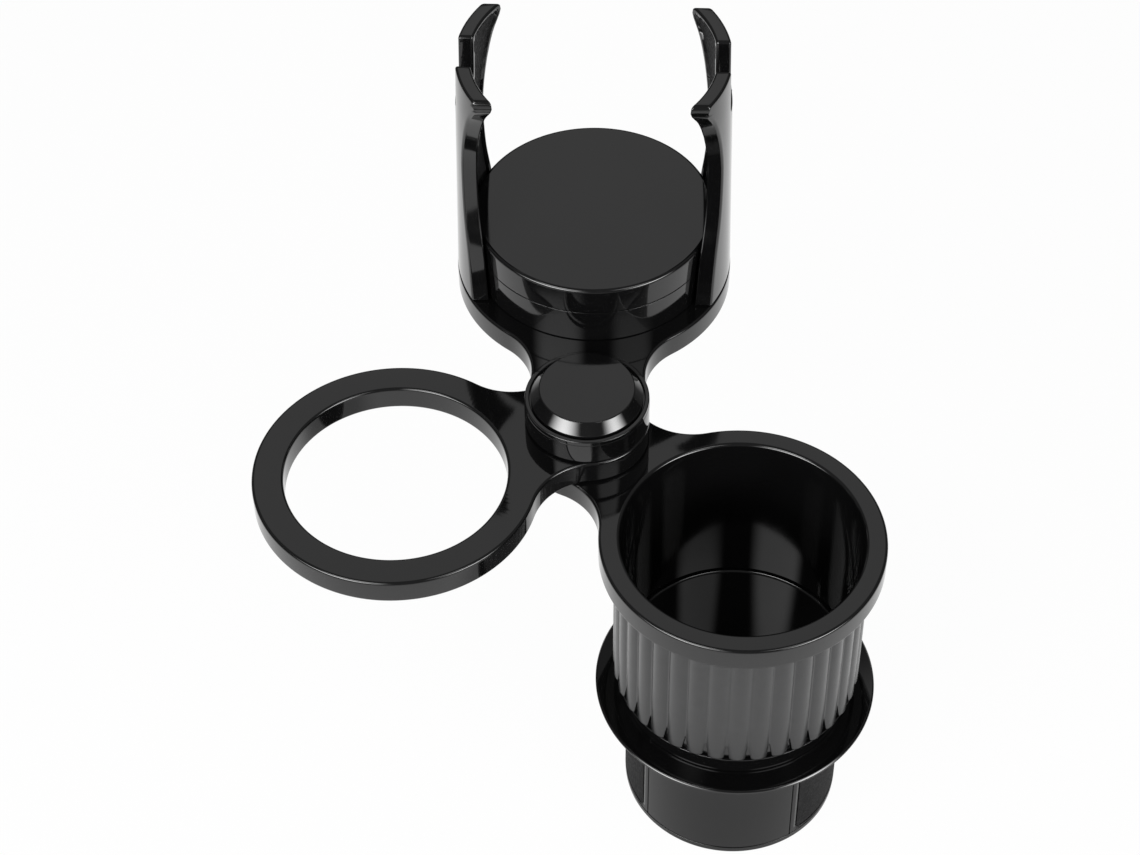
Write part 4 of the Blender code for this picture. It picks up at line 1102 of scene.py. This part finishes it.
def make_floor():
    """A floor, white to the camera but for a soft shadow. In reflections it shows a painted shadow near its
    middle and a painted pool of light round it, which dims far off.
    """
    mesh = bpy.data.meshes.new("floor")
    side = (-FLOOR_REACH, FLOOR_REACH)
    mesh.from_pydata([(x, y, 0) for x, y in oblong(side, side)], [], [(0, 1, 2, 3)])
    floor = bpy.data.objects.new("floor", mesh)
    floor.location.z = FLOOR_Z
    bpy.context.scene.collection.objects.link(floor)
    made = bpy.data.materials.new("pale_floor")
    made.use_nodes = True
    tree = made.node_tree
    tree.nodes.clear()
    output = tree.nodes.new("ShaderNodeOutputMaterial")
    path = tree.nodes.new("ShaderNodeLightPath")
    camera_share = math_node(tree, "MULTIPLY", path.outputs["Is Camera Ray"], FLOOR_CAMERA_SHARE)
    glossy_share = math_node(tree, "MULTIPLY", path.outputs["Is Glossy Ray"], FLOOR_GLOSSY_SHARE)
    share = math_node(tree, "MAXIMUM", camera_share, glossy_share)
    coords = tree.nodes.new("ShaderNodeTexCoord")
    away = tree.nodes.new("ShaderNodeVectorMath")
    away.operation = "DISTANCE"
    tree.links.new(coords.outputs["Object"], away.inputs[0])
    away.inputs[1].default_value = FLOOR_CENTRE
    # Painted shadow near the middle and painted light round it, seen only in reflections
    painted_shadow_and_light = ramped(tree, away.outputs["Value"], *FLOOR_SHADOW_EDGE, FLOOR_PAINTED_SHADOW, FLOOR_PAINTED_LIGHT)
    distant = ramped(tree, away.outputs["Value"], *FLOOR_FADE, 1.0, FLOOR_FAR)
    fading = math_node(tree, "MULTIPLY", painted_shadow_and_light, distant)
    seen = path.outputs["Is Camera Ray"]
    unseen = math_node(tree, "MULTIPLY", math_node(tree, "SUBTRACT", 1.0, seen), fading)
    strength = math_node(tree, "ADD", seen, unseen)
    paint = tree.nodes.new("ShaderNodeBsdfDiffuse")
    paint.inputs["Color"].default_value = (FLOOR_GREY, FLOOR_GREY, FLOOR_GREY, 1.0)
    glow = tree.nodes.new("ShaderNodeEmission")
    tree.links.new(strength, glow.inputs["Strength"])
    mix = tree.nodes.new("ShaderNodeMixShader")
    tree.links.new(share, mix.inputs["Fac"])
    tree.links.new(paint.outputs[0], mix.inputs[1])
    tree.links.new(glow.outputs[0], mix.inputs[2])
    tree.links.new(mix.outputs[0], output.inputs["Surface"])
    mesh.materials.append(made)


def make_world():
    """White to the camera and plain light on the object. In reflections bright above, behind and in front."""
    world = bpy.data.worlds.new("studio")
    bpy.context.scene.world = world
    world.use_nodes = True
    tree = world.node_tree
    back = tree.nodes["Background"]
    back.inputs["Color"].default_value = (1.0, 1.0, 1.0, 1.0)
    path = tree.nodes.new("ShaderNodeLightPath")
    coords = tree.nodes.new("ShaderNodeTexCoord")
    parts = tree.nodes.new("ShaderNodeSeparateXYZ")
    tree.links.new(coords.outputs["Generated"], parts.inputs[0])
    ceiling = ramped(tree, parts.outputs["Z"], *WORLD_CEILING_Z, WORLD_LOW, WORLD_HIGH)
    towards = tree.nodes.new("ShaderNodeVectorMath")
    towards.operation = "DOT_PRODUCT"
    tree.links.new(coords.outputs["Generated"], towards.inputs[0])
    towards.inputs[1].default_value = WORLD_BRIGHT_TOWARDS
    screen = ramped(tree, towards.outputs["Value"], *WORLD_SCREEN, WORLD_SIDE, 1.0)
    above = math_node(tree, "MULTIPLY", ceiling, screen)
    front = ramped(tree, parts.outputs["Y"], *WORLD_FRONT_Y, WORLD_FRONT, 0.0)
    mirrored = math_node(tree, "MAXIMUM", above, front)
    glossy = math_node(tree, "MULTIPLY", path.outputs["Is Glossy Ray"], mirrored)
    others = math_node(tree, "SUBTRACT", 1.0, path.outputs["Is Glossy Ray"])
    plain = math_node(tree, "MULTIPLY", others, WORLD_PLAIN)
    lit = math_node(tree, "ADD", glossy, plain)
    tree.links.new(math_node(tree, "MAXIMUM", lit, path.outputs["Is Camera Ray"]), back.inputs["Strength"])


def softbox(name, azimuth, elevation, half_widths, peak, core):
    """A lamp at an azimuth from the front, towards +X, whose light fades from its core to its edges."""
    azimuth, elevation = radians(azimuth), radians(elevation)
    data = bpy.data.lights.new(name, "AREA")
    data.shape = "RECTANGLE"
    data.size, data.size_y = (2.0 * LAMP_DISTANCE * tan(radians(half)) for half in half_widths)
    data.energy = peak * pi * data.size * data.size_y
    data.use_nodes = True
    tree = data.node_tree
    place = tree.nodes.new("ShaderNodeNewGeometry")
    centred = tree.nodes.new("ShaderNodeVectorMath")
    centred.operation = "MULTIPLY_ADD"
    centred.inputs[1].default_value = (2.0, 2.0, 0.0)
    centred.inputs[2].default_value = (-1.0, -1.0, 0.0)
    tree.links.new(place.outputs["Parametric"], centred.inputs[0])
    away = tree.nodes.new("ShaderNodeVectorMath")
    away.operation = "LENGTH"
    tree.links.new(centred.outputs[0], away.inputs[0])
    fading = ramped(tree, away.outputs["Value"], core, 1.0, 1.0, 0.0)
    tree.links.new(fading, tree.nodes["Emission"].inputs["Strength"])
    lamp = bpy.data.objects.new(name, data)
    out = Vector((sin(azimuth) * cos(elevation), -cos(azimuth) * cos(elevation), sin(elevation)))
    lamp.location = Vector(LAMP_AIM) + out * LAMP_DISTANCE
    lamp.rotation_euler = out.to_track_quat("Z", "Y").to_euler()
    bpy.context.scene.collection.objects.link(lamp)


def make_camera():
    data = bpy.data.cameras.new("camera")
    data.lens = CAMERA_LENS
    data.sensor_width = CAMERA_SENSOR
    data.clip_end = CAMERA_FAR
    camera = bpy.data.objects.new("camera", data)
    tilt = Matrix.Rotation(pi / 2 - CAMERA_PITCH, 4, "X")
    turn = Matrix.Rotation(CAMERA_YAW, 4, "Z") @ tilt @ Matrix.Rotation(CAMERA_ROLL, 4, "Z")
    camera.matrix_world = Matrix.Translation(Vector(CAMERA_AT) * MM) @ turn
    bpy.context.scene.collection.objects.link(camera)
    bpy.context.scene.camera = camera


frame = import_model()
bpy.context.scene.view_settings.view_transform = "Standard"
looks = {
    "gloss_black": gloss_black(), "satin_grey": satin_grey(), "rubber_pad": pad_rubber(),
    "steel": zinc_steel(), "nylon": natural_nylon(),
}
hub = joint_place(frame, "ring_swing")
platform = joint_place(frame, "pinion_spin")
dress_nodes(frame, looks)
black, rubber = looks["gloss_black"], looks["rubber_pad"]
rim_top = node_heights("ring_arm")[0] - ARM_GAP
make_cup_arm(black, hub, rim_top - ARM_THICK, rim_top)
make_ring_arm(black, hub, *node_heights("ring_arm"))
plate_low = node_heights("platform_arm")[0]
plate_top = plate_low + ARM_THICK
make_platform_arm(black, hub, plate_low, plate_top)
make_hub_cap(black, hub)
make_sleeve(looks["satin_grey"])
make_collar(black)
make_base(black, rubber)
make_pedestal(black, platform)
make_claws(black, rubber, platform, plate_top)
make_floor()
make_world()
for lamp in LAMPS:
    softbox(*lamp)
make_camera()
bpy.context.view_layer.update()
